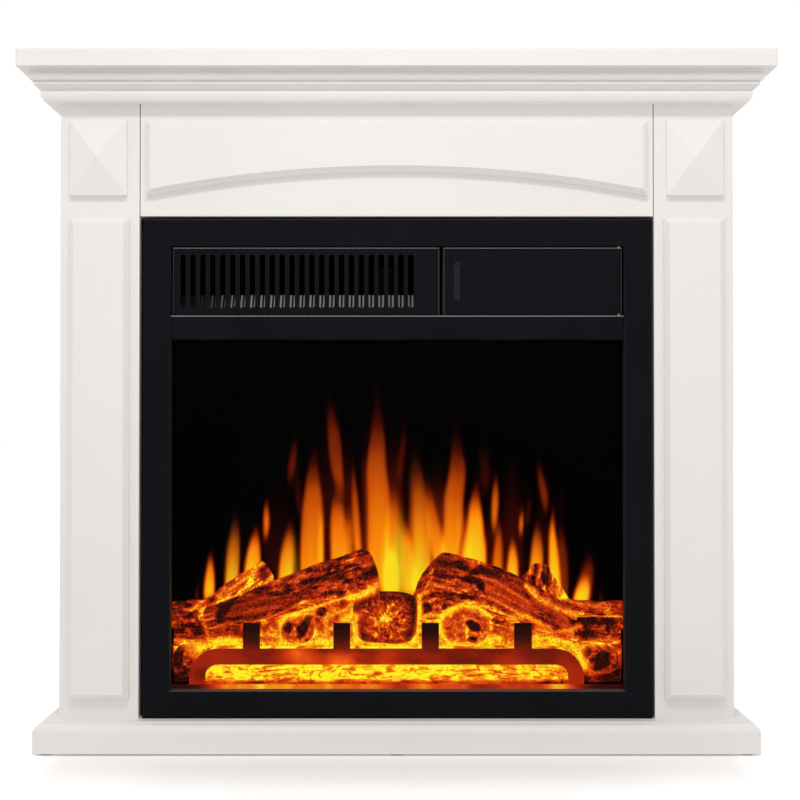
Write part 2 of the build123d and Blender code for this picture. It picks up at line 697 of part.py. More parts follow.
with BuildPart() as led_board:
    with BuildSketch(Plane.XY.offset(case_low)):
        with Locations((insert_x, 30.0)):
            Rectangle(440.0, 18.0)
    extrude(amount=1.6)
    with BuildSketch(Plane.XY.offset(case_low + 1.6)):
        with Locations((insert_x, 30.0)):
            with GridLocations(18.0, 0, 24, 1):
                Rectangle(5.0, 5.0)
    extrude(amount=1.4)
save(led_board, "led_board")


# ---------------------------------------------------------------- insert: ember bed, grate and logs
bed_x = (-214.0, 194.0)
lip_front, lip_top, web_top = -61.0, 64.0, 128.0
with BuildPart() as ember_bed:
    with BuildSketch(section_plane(bed_x[0])):
        with BuildLine():
            Polyline((-47.0, case_low), (-47.0, 90.0), (-44.0, 99.0), (-38.0, 103.0), (-22.0, 103.0),
                     (-18.0, 88.0), (10.0, 88.0), (10.0, case_low), (-47.0, case_low))
        make_face()
    extrude(amount=bed_x[1] - bed_x[0])
    for y, top in (((9.0, 12.0), web_top), ((lip_front, -47.0), lip_top)):
        with BuildSketch(section_plane(case_left + 4)):
            with Locations(((y[0] + y[1]) / 2, (case_low + top) / 2)):
                Rectangle(y[1] - y[0], top - case_low)
        extrude(amount=case_right - case_left - 8)
save(ember_bed, "ember_bed")

grate_y, grate_thick = -49.0, 6.0
bar_low, bar_top, bar_turn = 87.4, 104.4, 72.8
bar_ends = (-198.6, 176.2)
posts = ((-161.5, 18.5), (-61.1, 18.5), (37.4, 19.0), (140.2, 19.4))
post_top = 133.0
with BuildPart() as fire_grate:
    with BuildSketch(front_plane(grate_y)):
        with Locations(((bar_ends[0] + bar_ends[1]) / 2, (bar_low + bar_top) / 2)):
            Rectangle(bar_ends[1] - bar_ends[0], bar_top - bar_low)
        for x, width in posts:
            with Locations((x, (bar_low + post_top) / 2)):
                Rectangle(width, post_top - bar_low)
        inner, outer = bar_low - bar_turn, bar_top - bar_turn
        for side, x, start in ((-1, bar_ends[0], 90), (1, bar_ends[1], 0)):
            with BuildLine():
                CenterArc((x, bar_turn), outer, start, 90)
                CenterArc((x, bar_turn), inner, start, 90)
                Line((x, bar_top), (x, bar_low))
                Polyline((x + side * inner, bar_turn), (x + side * inner, lip_top),
                         (x + side * outer, lip_top), (x + side * outer, bar_turn))
            make_face()
    extrude(amount=grate_thick)
    fillet(fire_grate.faces().sort_by(Axis.Y)[0].edges(), radius=1.5)
save(fire_grate, "fire_grate")

log_depth = 12.0             # half the front to back depth of a log, a shallow relief


def limb(start, end, half_height, half_depth=log_depth):
    """One limb of a log, an oval section carried from start to end, at the caller's depth."""
    run = Vector(*end) - Vector(*start)
    with BuildSketch(Plane(origin=start, x_dir=(0, 1, 0), z_dir=run)) as oval:
        Ellipse(half_depth, half_height)
    extrude(oval.sketch, amount=run.length)


back_y, front_y = -4.0, -30.0
with BuildPart() as log_left_back:
    limb((case_left + 8, back_y, 118.0), (-150.0, back_y, 139.0), 27.0)
    limb((-182.0, back_y, 140.0), (-147.8, back_y, 183.2), 15.0)
save(log_left_back, "log_left_back")

with BuildPart() as log_left_front:
    limb((-197.4, front_y, 136.0), (-34.5, front_y, 190.0), 24.0)
save(log_left_front, "log_left_front")

with BuildPart() as log_centre:
    with BuildSketch(front_plane(-19.0)):
        with Locations((-11.4, 134.5)):
            RectangleRounded(74.0, 56.0, 21.0)
    extrude(amount=27.0)
    fillet(log_centre.faces().sort_by(Axis.Y)[0].edges(), radius=3.0)
save(log_centre, "log_centre")

with BuildPart() as log_right_front:
    limb((48.8, front_y, 185.0), (197.9, front_y, 134.0), 25.0)
save(log_right_front, "log_right_front")

with BuildPart() as log_right_back:
    limb((105.0, back_y, 144.0), (case_right - 6, back_y, 124.5), 26.0)
    limb((166.0, back_y, 150.0), (170.0, back_y, 191.2), 17.0)
    limb((22.0, back_y, 146.0), (112.0, back_y, 144.0), 19.0)
save(log_right_back, "log_right_back")

chunks = ((-113.0, 119.5, 15.0), (77.0, 125.0, 20.5), (230.5, 88.0, 15.5), (-238.0, 88.0, 14.0))
with BuildPart() as log_chunks:
    for x, z, radius in chunks:
        with BuildSketch(front_plane(-20.0)):
            with Locations((x, z)):
                Circle(radius)
        extrude(amount=24.0)
save(log_chunks, "log_chunks")
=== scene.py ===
"""The looks of the electric fireplace: paint, black steel, the glowing log set and the flame picture.

Metres, +Z up, the front faces -Y. Shapes that the fire needs are worked out here in millimetres, as
surfaces of two parameters, and turned into metres when they become meshes.
"""
import math

import bpy
import numpy as np
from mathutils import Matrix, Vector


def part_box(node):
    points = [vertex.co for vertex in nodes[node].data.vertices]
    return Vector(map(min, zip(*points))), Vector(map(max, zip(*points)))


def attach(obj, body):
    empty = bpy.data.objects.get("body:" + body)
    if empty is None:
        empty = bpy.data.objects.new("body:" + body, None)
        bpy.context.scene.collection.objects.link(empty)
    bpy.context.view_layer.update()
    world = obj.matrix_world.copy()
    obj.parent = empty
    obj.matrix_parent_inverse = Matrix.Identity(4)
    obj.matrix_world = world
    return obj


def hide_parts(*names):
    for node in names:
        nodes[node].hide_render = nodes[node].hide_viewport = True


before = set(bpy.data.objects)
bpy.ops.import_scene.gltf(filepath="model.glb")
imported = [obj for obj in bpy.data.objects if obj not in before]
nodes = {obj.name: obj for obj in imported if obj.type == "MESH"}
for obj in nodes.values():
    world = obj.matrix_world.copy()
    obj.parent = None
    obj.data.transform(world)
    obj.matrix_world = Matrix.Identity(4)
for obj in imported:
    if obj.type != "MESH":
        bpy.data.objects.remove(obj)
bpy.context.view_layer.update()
MM = 0.001
BODY = "mantel"


# ---------------------------------------------------------------- shader helpers
class Value:
    """A float socket that takes part in plain arithmetic. Each operator adds one Math node."""

    def __init__(self, finish, socket):
        self.finish, self.socket = finish, socket

    def _math(self, operation, first, second=None):
        values = {0: first} if second is None else {0: first, 1: second}
        made = self.finish.node("ShaderNodeMath", {"operation": operation}, values)
        return Value(self.finish, made.outputs[0])

    def __add__(self, other):
        return self._math("ADD", self, other)

    def __sub__(self, other):
        return self._math("SUBTRACT", self, other)

    def __rsub__(self, other):
        return self._math("SUBTRACT", other, self)

    def __mul__(self, other):
        return self._math("MULTIPLY", self, other)

    def __pow__(self, other):
        return self._math("POWER", self, other)

    def __abs__(self):
        return self._math("ABSOLUTE", self)

    __radd__ = __add__
    __rmul__ = __mul__

    def fraction(self):
        return self._math("FRACT", self)

    def above(self, low, high):
        """A smooth step: 0 below low, 1 above high, eased in between."""
        kit = {"interpolation_type": "SMOOTHSTEP"}
        step = self.finish.node("ShaderNodeMapRange", kit, {"Value": self, "From Min": low, "From Max": high})
        return Value(self.finish, step.outputs[0])


def linear(r, g, b):
    """A display colour, 0 to 255 a channel, as the linear colour that shaders use."""
    def channel(c):
        c = c / 255.0
        return c / 12.92 if c <= 0.04045 else ((c + 0.055) / 1.055) ** 2.4
    return channel(r), channel(g), channel(b), 1.0


class Finish:
    """One procedural material and the few calls that its recipe needs."""

    def __init__(self, name):
        self.material = bpy.data.materials.new(name)
        self.material.use_nodes = True
        self.tree = self.material.node_tree
        self.tree.nodes.clear()
        self.place = self.node("ShaderNodeTexCoord").outputs["Object"]

    def node(self, kind, settings=None, sockets=None):
        """Adds a node: its settings go first, then each socket gets a number, a colour or a link."""
        made = self.tree.nodes.new(kind)
        for key, value in (settings or {}).items():
            if key == "stops":
                self._stops(made.color_ramp, value)
            else:
                setattr(made, key, value)
        for key, value in (sockets or {}).items():
            if isinstance(value, Value):
                value = value.socket
            if isinstance(value, bpy.types.NodeSocket):
                self.tree.links.new(value, made.inputs[key])
            elif value is not None:
                made.inputs[key].default_value = value
        return made

    @staticmethod
    def _stops(ramp, stops):
        while len(ramp.elements) < len(stops):
            ramp.elements.new(1.0)
        for element, (position, colour) in zip(ramp.elements, stops):
            element.position, element.color = position, colour

    def stretched(self, x=1.0, y=1.0, z=1.0):
        """Object coordinates scaled per axis, so that a pattern runs along the board or the limb."""
        return self.node("ShaderNodeMapping", {}, {"Vector": self.place, "Scale": (x, y, z)}).outputs[0]

    def noise(self, scale, detail=3.0, rough=0.5, vector=None, warp=0.0):
        sockets = {"Vector": vector or self.place, "Scale": scale, "Detail": detail,
                   "Roughness": rough, "Distortion": warp}
        return Value(self, self.node("ShaderNodeTexNoise", {}, sockets).outputs["Fac"])

    def cells(self, scale, feature="F1", vector=None):
        sockets = {"Vector": vector or self.place, "Scale": scale}
        found = self.node("ShaderNodeTexVoronoi", {"feature": feature}, sockets)
        return Value(self, found.outputs["Distance"])

    def axis(self, name):
        """One Object coordinate, in metres, as a number."""
        split = self.node("ShaderNodeSeparateXYZ", {}, {"Vector": self.place})
        return Value(self, split.outputs[name])

    def facing(self, name):
        """How far the surface faces along an axis, -1 to 1."""
        normal = self.node("ShaderNodeNewGeometry").outputs["Normal"]
        return Value(self, self.node("ShaderNodeSeparateXYZ", {}, {"Vector": normal}).outputs[name])

    def attribute(self, name):
        """A number stored on the piece's own vertices."""
        return Value(self, self.node("ShaderNodeAttribute", {"attribute_name": name}).outputs["Fac"])

    def ramp(self, value, stops):
        return self.node("ShaderNodeValToRGB", {"stops": stops}, {"Fac": value}).outputs["Color"]

    def mix(self, amount, first, second, how="MIX"):
        """Blends two colours by an amount from 0 to 1."""
        made = self.node("ShaderNodeMix", {"data_type": "RGBA", "blend_type": how})
        for key, value in ((0, amount), (6, first), (7, second)):
            value = value.socket if isinstance(value, Value) else value
            if isinstance(value, bpy.types.NodeSocket):
                self.tree.links.new(value, made.inputs[key])
            else:
                made.inputs[key].default_value = value
        return made.outputs[2]

    def bump(self, height, distance, strength=1.0):
        sockets = {"Height": height, "Distance": distance, "Strength": strength}
        return self.node("ShaderNodeBump", {}, sockets).outputs["Normal"]

    def surface(self, **sockets):
        """Ends the recipe in a Principled shader. Words in the names are joined by underscores."""
        named = {key.replace("_", " "): value for key, value in sockets.items()}
        shader = self.node("ShaderNodeBsdfPrincipled")
        for key, value in named.items():
            slot = next(s for s in shader.inputs if s.name.lower() == key.lower())
            value = value.socket if isinstance(value, Value) else value
            if isinstance(value, bpy.types.NodeSocket):
                self.tree.links.new(value, slot)
            else:
                slot.default_value = value
        self.node("ShaderNodeOutputMaterial", {}, {"Surface": shader.outputs[0]})
        return self.material


# ---------------------------------------------------------------- finishes: boards and casing
def white_paint(name, grain_axis):
    """Semi-gloss white on fibreboard: long faint brush lines, roller texture, a little painted shade low
    down.
    """
    f = Finish(name)
    along = {"X": (3.0, 60.0, 60.0), "Y": (60.0, 3.0, 60.0), "Z": (60.0, 60.0, 3.0)}[grain_axis]
    lines = f.noise(9.0, 4.0, 0.6, f.stretched(*along))
    orange_peel = f.noise(420.0, 2.0)
    cloud = f.noise(4.5, 3.0)
    # painted shade: the paint greys towards the bottom; the blotches and brush lines mixed in with it are the
    # paint's own tone
    low = 1 - f.axis("Z").above(-0.05, 0.42)
    shade_and_blotches = low * 0.12 + cloud.above(0.45, 0.8) * 0.25 + lines.above(0.5, 0.75) * 0.12
    colour = f.mix(shade_and_blotches, linear(243, 241, 238), linear(228, 224, 221))
    height = lines * 0.5 + orange_peel * 0.5
    return f.surface(base_color=colour, roughness=0.34 + cloud * 0.12 + lines * 0.06,
                     specular_ior_level=0.45, normal=f.bump(height, 0.00022, 0.35))


def raw_board(name):
    """Bare fibreboard seen only from behind: fine brown fibres with darker flecks."""
    f = Finish(name)
    fibres = f.noise(160.0, 5.0, 0.65)
    flecks = f.cells(260.0).above(0.0, 0.35)
    colour = f.ramp(fibres * 0.8 + flecks * 0.2, [(0.25, linear(116, 88, 62)), (0.55, linear(158, 126, 92)),
                                                  (0.8, linear(184, 152, 116))])
    return f.surface(base_color=colour, roughness=0.75 + fibres * 0.15, normal=f.bump(fibres, 0.0004, 0.5))


def black_satin(name, pull=False, highlight_strength=0.75):
    """Satin black powder coat: fine grain, faint blue cast, a pale painted highlight on upward edges and a
    fainter one on faces turned sideways.
    With pull, the door's finger pull gets a painted highlight, a little paler."""
    f = Finish(name)
    grain = f.noise(900.0, 2.0)
    cloud = f.noise(14.0, 3.0)
    speckle = f.noise(420.0, 2.0)
    # painted highlight: faces turned upwards, and more faintly faces turned sideways, are mixed towards pale
    # grey
    top_highlight = f.facing("Z").above(0.35, 0.7) * (0.80 + f.noise(60.0, 3.0) * 0.4)
    side_highlight = abs(f.facing("X")).above(0.3, 0.75) * 0.20
    body = f.mix(cloud.above(0.35, 0.7), linear(10, 11, 17), linear(14, 15, 21))
    body = f.mix(speckle.above(0.60, 0.78) * 0.35, body, linear(30, 30, 34))
    if pull:
        # painted highlight: the finger pull's recess is a little paler
        left, right, foot, top = (0.0622, 0.0626), (0.0690, 0.0694), (0.4905, 0.4915), (0.5315, 0.5325)
        inside = f.axis("X").above(*left) * (1 - f.axis("X").above(*right))
        inside = inside * f.axis("Z").above(*foot) * (1 - f.axis("Z").above(*top))
        body = f.mix(inside, body, linear(38, 38, 43))
    colour = f.mix(top_highlight * highlight_strength + side_highlight * highlight_strength, body, linear(150, 150, 152))
    return f.surface(base_color=colour, roughness=0.46 + grain * 0.16 + cloud * 0.06,
                     specular_ior_level=0.08, normal=f.bump(grain, 0.00012, 0.35))


def dark_casing(name):
    """Matt black heat-resistant paint: dusty grey on the rear cover; in front of it, painted shade makes it
    pure black.
    """
    f = Finish(name)
    grain = f.noise(500.0, 3.0)
    dust = f.noise(7.0, 4.0, 0.6).above(0.5, 0.85)
    cover_starts, cover_full = 0.100, 0.108
    # painted shade: every casing part in front of the rear cover is turned pure black
    front = 1 - f.axis("Y").above(cover_starts, cover_full)
    colour = f.mix(dust * (1 - front) * 0.5, linear(20, 20, 21), linear(62, 60, 58))
    colour = f.mix(front, colour, linear(1, 1, 1))
    return f.surface(base_color=colour, roughness=0.62 + grain * 0.2, specular_ior_level=0.03,
                     normal=f.bump(grain, 0.0002, 0.4))


def dim_outlet(name):
    """Rolled outlet plate under the grille, near black but for a pair of painted highlights behind each slot.
    """
    f = Finish(name)
    across = f.axis("X")
    slot_pitch, grille_start = 0.01085, -0.2398
    saw = ((across - grille_start) * (1.0 / slot_pitch)).fraction()
    # painted highlight: two pale stripes in each slot pitch, fading in towards the left end, a little weaker
    # on the right, mottled
    slot_highlight = (1 - abs(saw - 0.32).above(0.05, 0.13)) + (1 - abs(saw - 0.70).above(0.05, 0.13))
    highlight_spread = across.above(-0.226, -0.150) * (1 - across.above(-0.10, 0.06) * 0.3)
    mottle = 0.7 + f.noise(300.0, 3.0) * 0.6
    colour = f.mix(slot_highlight * highlight_spread * mottle * 0.8, linear(4, 4, 5), linear(188, 188, 190))
    return f.surface(base_color=colour, metallic=0.0, roughness=0.5 + mottle * 0.1, specular_ior_level=0.1,
                     normal=f.bump(mottle, 0.0001, 0.3))


def black_moulding(name, gloss):
    """Black moulded plastic: spark-eroded texture, or nearly smooth where gloss is high."""
    f = Finish(name)
    spark = f.noise(1400.0, 2.0)
    cloud = f.noise(30.0, 2.0)
    colour = f.mix(cloud, linear(20, 20, 21), linear(30, 30, 32))
    return f.surface(base_color=colour, roughness=(0.62 - 0.4 * gloss) + spark * 0.12, specular_ior_level=0.4,
                     normal=f.bump(spark, 0.00015, 0.5 - 0.35 * gloss))


def metal(name, dark, light, roughness, brush=(1.0, 1.0, 1.0), spangle=0.0):
    """Bare or plated sheet: drawn lines along one axis and, on zinc, crystal spangle."""
    f = Finish(name)
    lines = f.noise(300.0, 3.0, 0.6, f.stretched(*brush))
    crystals = f.cells(70.0) * spangle
    tone = lines * 0.7 + crystals * 0.8 + f.noise(9.0, 3.0) * 0.3
    colour = f.ramp(tone, [(0.2, dark), (0.8, light)])
    return f.surface(base_color=colour, metallic=1.0, roughness=roughness + lines * 0.14 + crystals * 0.1,
                     normal=f.bump(lines, 0.0001, 0.3))


def circuit_board(name):
    """Green solder mask with faint tracks."""
    f = Finish(name)
    tracks = f.cells(180.0, "DISTANCE_TO_EDGE").above(0.02, 0.06)
    colour = f.mix(tracks, linear(34, 120, 60), linear(10, 66, 30))
    return f.surface(base_color=colour, roughness=0.3 + f.noise(200.0) * 0.2)


def heater_parts(name):
    """Mica frame with dull resistance wire."""
    f = Finish(name)
    flakes = f.cells(240.0)
    colour = f.ramp(flakes + f.noise(60.0) * 0.4, [(0.1, linear(120, 96, 62)), (0.8, linear(196, 176, 132))])
    return f.surface(base_color=colour, roughness=0.5 + flakes * 0.3, metallic=0.2)


def window_glass(name):
    """Clear coated pane: it lets the fire through and only mirrors at a glancing angle."""
    f = Finish(name)
    smear = f.noise(12.0, 4.0, 0.6).above(0.4, 0.8)
    glance = Value(f, f.node("ShaderNodeLayerWeight", {}, {"Blend": 0.25}).outputs["Facing"])
    amount = 0.0006 + (glance ** 4.0) * 0.25 + smear * 0.0005
    clear = f.node("ShaderNodeBsdfTransparent", {}, {"Color": (0.985, 0.99, 0.99, 1.0)})
    shine = f.node("ShaderNodeBsdfGlossy", {}, {"Color": (1.0, 1.0, 1.0, 1.0), "Roughness": 0.03})
    both = f.node("ShaderNodeMixShader", {}, {0: amount, 1: clear.outputs[0], 2: shine.outputs[0]})
    f.node("ShaderNodeOutputMaterial", {}, {"Surface": both.outputs[0]})
    return f.material


# ---------------------------------------------------------------- finishes: the fire
EMBER_STOPS = [(0.0, linear(24, 5, 3)), (0.15, linear(66, 14, 5)), (0.30, linear(118, 22, 5)),
               (0.45, linear(170, 38, 8)), (0.58, linear(206, 56, 11)), (0.70, linear(233, 84, 15)),
               (0.80, linear(244, 120, 17)), (0.90, linear(250, 174, 20)), (1.0, linear(254, 238, 34))]
FLAME_STOPS = [(0.0, linear(0, 0, 0)), (0.10, linear(20, 2, 1)), (0.22, linear(66, 9, 1)),
               (0.38, linear(132, 40, 3)), (0.54, linear(205, 82, 5)), (0.70, linear(252, 132, 8)),
               (0.84, linear(250, 176, 18)), (1.0, linear(255, 222, 26))]

GREEN_STOPS = [(0.0, linear(0, 0, 0)), (0.3, linear(58, 44, 2)), (0.6, linear(120, 106, 8)),
               (0.85, linear(190, 166, 28)), (1.0, linear(232, 206, 50))]


def glowing_bark(name):
    """Translucent resin bark lit from inside: charred ridges, orange crevices, sharp painted glints."""
    f = Finish(name)
    fine = f.noise(620.0, 4.0, 0.7)
    speck = f.noise(1500.0, 2.0, 0.6)
    char = f.noise(46.0, 4.0, 0.65, None, 0.8).above(0.50, 0.72)
    crack = 1 - f.cells(210.0, "DISTANCE_TO_EDGE").above(0.02, 0.10)
    glow = f.attribute("glow") + (fine - 0.5) * 0.80 + (speck - 0.5) * 0.30
    glow = glow - char * 0.16 + crack * 0.16 - 0.02
    colour = f.ramp(glow, EMBER_STOPS)
    # painted glints: sparse pale warm specks mixed into the emission
    spark = f.noise(1100.0, 1.0).above(0.70, 0.76) * f.noise(90.0, 2.0).above(0.45, 0.65)
    colour = f.mix(spark * 0.7, colour, linear(255, 176, 120))
    skin = f.ramp(fine, [(0.3, linear(2, 0, 0)), (0.7, linear(14, 3, 2))])
    return f.surface(base_color=skin, roughness=0.30 + fine * 0.3, specular_ior_level=0.03,
                     emission_color=colour, emission_strength=1.0,
                     normal=f.bump(fine * 0.7 + speck * 0.3, 0.0016, 0.8))


def ember_glow(name):
    """Ash and embers lit hard from below: yellow with orange veins."""
    f = Finish(name)
    fine = f.noise(420.0, 5.0, 0.7, f.stretched(0.55, 1.0, 1.3), 0.6)
    colour = f.ramp(f.attribute("glow") + (fine - 0.5) * 0.62 + 0.05, EMBER_STOPS)
    return f.surface(base_color=linear(20, 8, 1), roughness=0.45 + fine * 0.3, specular_ior_level=0.03,
                     emission_color=colour, emission_strength=1.0, normal=f.bump(fine, 0.0014, 0.8))


def grate_glow(name):
    """Dark translucent casting: nearly black at the post tops, red where the embers shine through."""
    f = Finish(name)
    height = f.axis("Z")
    blotch = f.noise(26.0, 2.0, 0.4, f.stretched(1.0, 1.0, 1.6))
    across = f.axis("X")
    hot = across.above(-0.150, -0.095) * (1 - across.above(-0.030, 0.020))
    low = 1 - height.above(0.096, 0.128)
    heat = 0.01 + low * (0.31 + hot * 0.20) + low * (blotch - 0.45) * (0.5 + hot * 0.6)
    heat = heat + (1 - height.above(0.060, 0.080)) * 0.16
    colour = f.ramp(heat + (f.noise(500.0, 3.0) - 0.5) * 0.10, EMBER_STOPS)
    return f.surface(base_color=linear(6, 2, 1), roughness=0.5 + blotch * 0.15, specular_ior_level=0.04,
                     emission_color=colour, emission_strength=1.0)


def flame_picture(name):
    """The moving flame picture on the dark screen, a colour for each heat, greener where tinted."""
    f = Finish(name)
    heat, tint = f.attribute("glow"), f.attribute("tint")
    warm = f.ramp(heat, FLAME_STOPS)
    green = f.ramp(heat, GREEN_STOPS)
    return f.surface(base_color=linear(1, 1, 1), roughness=0.6 + f.noise(300.0) * 0.2, specular_ior_level=0.0,
                     emission_color=f.mix(tint, warm, green), emission_strength=1.0)


# ---------------------------------------------------------------- numpy noise
def hashed(ix, iy, iz, seed):
    """A repeatable number from 0 to 1 for each whole-number lattice point."""
    mask = np.uint64(0xFFFFFFFF)
    h = (ix.astype(np.int64).astype(np.uint64) * np.uint64(374761393)
         + iy.astype(np.int64).astype(np.uint64) * np.uint64(668265263)
         + iz.astype(np.int64).astype(np.uint64) * np.uint64(2246822519)
         + np.uint64(seed) * np.uint64(3266489917)) & mask
    h = ((h ^ (h >> np.uint64(13))) * np.uint64(1274126177)) & mask
    h = ((h ^ (h >> np.uint64(16))) * np.uint64(2654435761)) & mask
    return ((h ^ (h >> np.uint64(15))) & mask).astype(np.float64) / 4294967295.0


def noise(p, seed=0):
    """Value noise, 0 to 1: lattice numbers blended across each unit cube with an eased weight."""
    cell = np.floor(p)
    w = p - cell
    w = w * w * (3 - 2 * w)
    total = 0.0
    for corner in range(8):
        step = np.array([corner & 1, corner >> 1 & 1, corner >> 2 & 1])
        weight = np.prod(np.where(step == 1, w, 1 - w), axis=-1)
        at = cell + step
        total = total + weight * hashed(at[..., 0], at[..., 1], at[..., 2], seed)
    return total


def layered(p, octaves=4, seed=0):
    """Several octaves of value noise, each twice as fine and half as strong, 0 to 1."""
    total, size = 0.0, 0.0
    for octave in range(octaves):
        total = total + noise(p * 2 ** octave, seed + 17 * octave) * 0.5 ** octave
        size += 0.5 ** octave
    return total / size


def ridged(p, octaves=3, seed=0):
    """Creased noise, 0 to 1: high along thin wandering lines, low between them."""
    total, size = 0.0, 0.0
    for octave in range(octaves):
        line = 1 - np.abs(2 * noise(p * 2 ** octave, seed + 31 * octave) - 1)
        total = total + line ** 2 * 0.55 ** octave
        size += 0.55 ** octave
    return total / size


def eased(value, low, high):
    """Smooth step from 0 at low to 1 at high."""
    t = np.clip((value - low) / (high - low), 0.0, 1.0)
    return t * t * (3 - 2 * t)


# ---------------------------------------------------------------- meshes from grids
def mesh_piece(name, points, faces, attributes, material, replaced):
    """Makes a piece in metres from points in mm, with per-vertex numbers, riding on the mantel."""
    mesh = bpy.data.meshes.new(name)
    mesh.from_pydata((points * MM).tolist(), [], faces.tolist() if hasattr(faces, "tolist") else faces)
    mesh.polygons.foreach_set("use_smooth", [True] * len(mesh.polygons))
    for key, values in attributes.items():
        mesh.attributes.new(key, "FLOAT", "POINT").data.foreach_set("value", np.clip(values, -1, 4))
    mesh.materials.append(material)
    mesh.update()
    piece = bpy.data.objects.new(name, mesh)
    bpy.context.scene.collection.objects.link(piece)
    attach(piece, BODY)
    if replaced:
        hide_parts(*replaced)
    return piece


def grid_faces(rows, columns, wrap=False):
    """Quads between neighbouring rows and columns of a grid, closed round the columns where wrapped."""
    r = np.arange(rows - 1)[:, None]
    c = np.arange(columns if wrap else columns - 1)[None, :]
    d = (c + 1) % columns
    quads = np.stack([r * columns + c, r * columns + d, (r + 1) * columns + d, (r + 1) * columns + c], -1)
    return quads.reshape(-1, 4)


def closed_tube(rings):
    """Points and faces of rings (ring, side, xyz) joined along, with a pole closing each end."""
    count, sides, _ = rings.shape
    points = np.concatenate([rings.reshape(-1, 3), rings[:1].mean(1), rings[-1:].mean(1)])
    quads = grid_faces(count, sides, wrap=True).tolist()
    side = np.arange(sides)
    after = (side + 1) % sides
    start, end = count * sides, count * sides + 1
    last = (count - 1) * sides
    quads += np.stack([np.full(sides, start), after, side], -1).tolist()
    quads += np.stack([np.full(sides, end), last + side, last + after], -1).tolist()
    middle = rings.mean((0, 1))
    corner = points[grid_faces(count, sides, wrap=True)] - middle
    volume = np.einsum("ij,ij->i", corner[:, 0], np.cross(corner[:, 1], corner[:, 2])).sum()
    if volume < 0:
        quads = [q[::-1] for q in quads]
    return points, quads


# ---------------------------------------------------------------- log set
# The log set is one translucent moulding. A limb is a centre line through three points (X, Z), the half
# height there, how far forward its axis lies, how much it bulges, how long its ends round off, how
# square they are, and the warmth of its skin.
LIMBS = {
    "left_back": ([(-264, 125), (-219, 127), (-168, 131)], [25, 27, 26], 4, 12, 12, 2.6, 0.37),
    "left_stub": ([(-226, 130), (-186, 160), (-151, 184)], [13, 15, 13], 6, 10, 7, 4.0, 0.49),
    "left_front": ([(-206, 136), (-116, 163), (-36, 190)], [12, 22, 23], 22, 13, 13, 3.0, 0.40),
    "right_front": ([(54, 184), (116, 166), (190, 132)], [24, 24, 15], 22, 13, 13, 2.4, 0.44),
    "right_root": ([(26, 158), (44, 176), (62, 190)], [8, 17, 20], 14, 12, 10, 2.4, 0.46),
    "middle": ([(30, 148), (90, 148), (150, 140)], [17, 20, 22], 10, 12, 8, 3.0, 0.46),
    "right_stub": ([(162, 148), (162, 170), (163, 186)], [38, 27, 12], 4, 10, 9, 2.2, 0.46),
    "right_upper": ([(150, 146), (214, 143), (268, 143)], [13, 10, 9], 6, 10, 8, 3.0, 0.43),
    "right_low": ([(168, 122), (214, 120), (268, 118)], [13, 15, 15], 4, 12, 8, 3.0, 0.43),
}
# A split billet: centre line, half height at its middle, forward place of the flat face, warmth.
SLABS = {
    "split_left": ([(-203, 140), (-160, 150), (-108, 160)], 10.5, 36, 0.36),
    "split_right": ([(86, 184), (140, 156), (197, 127)], 15.0, 36, 0.46),
}
# A sawn end: centre, half width, half height, squareness, forward place, warmth.
ENDS = {
    "centre": (-12.5, 136.5, 36.0, 30.5, 3.4, 42, 0.37),
    "chunk_left": (-113, 120, 19.0, 15.0, 2.4, 36, 0.46),
    "chunk_right": (78, 124, 27.0, 21.0, 2.4, 36, 0.55),
    "chunk_low_right": (231, 87, 21.0, 15.5, 2.3, 30, 0.36),
    "chunk_low_left": (-240, 86, 14.0, 18.0, 2.3, 30, 0.36),
}
# Hollows and stains: X, Z, half length, half height, turn in degrees, warmth added, depth, rim warmth.
SPOTS = [
    (-122, 127, 6, 7, 20, -0.5, 4, 0.1), (-106, 123, 7, 12, -25, -0.6, 5, 0.12),
    (-99, 112, 5, 3, 20, -0.2, 1, 0), (-87, 138, 7, 6, 0, -0.35, 3, 0.12),
    (-193, 147, 13, 6, 55, -0.42, 2, 0.05), (-200, 136, 8, 5, 80, -0.3, 2, 0),
    (-150, 180, 6, 7, 0, -0.22, 1, 0.1), (-166, 175, 7, 4, 35, 0.42, 0, 0),
    (-176, 166, 10, 3, 35, 0.22, 0, 0), (-238, 146, 9, 3, 8, -0.2, 1, 0.1),
    (-232, 131, 12, 7, 80, -0.2, 1, 0), (-250, 122, 12, 8, 0, -0.16, 1, 0),
    (-246, 90, 7, 12, 10, -0.4, 4, 0.14), (-72, 190, 9, 14, 20, -0.25, 2, 0.05),
    (-96, 176, 14, 4, 25, -0.2, 1, 0), (-60, 205, 16, 5, 20, -0.16, 1, 0),
    (-128, 165, 18, 4, 10, -0.25, 1, 0), (57, 146, 7, 6.5, 0, -0.34, 4, 0.22),
    (60, 160, 30, 5, 0, -0.36, 1, 0), (34, 150, 7, 14, 0, -0.36, 1, 0),
    (87, 128, 11, 6, -28, -0.75, 5, 0.1), (84, 112, 6, 5, 0, -0.62, 4, 0.1),
    (112, 132, 6, 5, 20, -0.3, 2, 0.1), (96, 122, 12, 2.5, -25, 0.25, 0, 0),
    (79, 118, 2.2, 16, 3, 0.25, 0, 0), (92, 178, 5, 17, 28, -0.52, 3, 0.05),
    (168, 136, 24, 6.5, -28, -0.26, 1, 0), (146, 164, 9, 3, -50, -0.3, 1, 0),
    (154, 177, 5, 6, 0, -0.34, 3, 0.1), (168, 178, 4, 10, 25, -0.42, 3, 0.1),
    (228, 130, 36, 3.5, -4, -0.45, 3, 0), (222, 124, 12, 9, 0, -0.22, 1, 0),
    (212, 112, 12, 6, 0, -0.18, 1, 0), (240, 120, 2, 10, 5, -0.3, 1, 0.1),
    (229, 88, 13, 11, 30, -0.52, 6, 0.16), (22, 154, 6, 8, 0, -0.3, 1, 0),
    (150, 126, 10, 5, 0, -0.26, 1, 0), (70, 196, 14, 5, -30, -0.2, 1, 0), (84, 181, 10, 6, 0, -0.16, 1, 0),
]
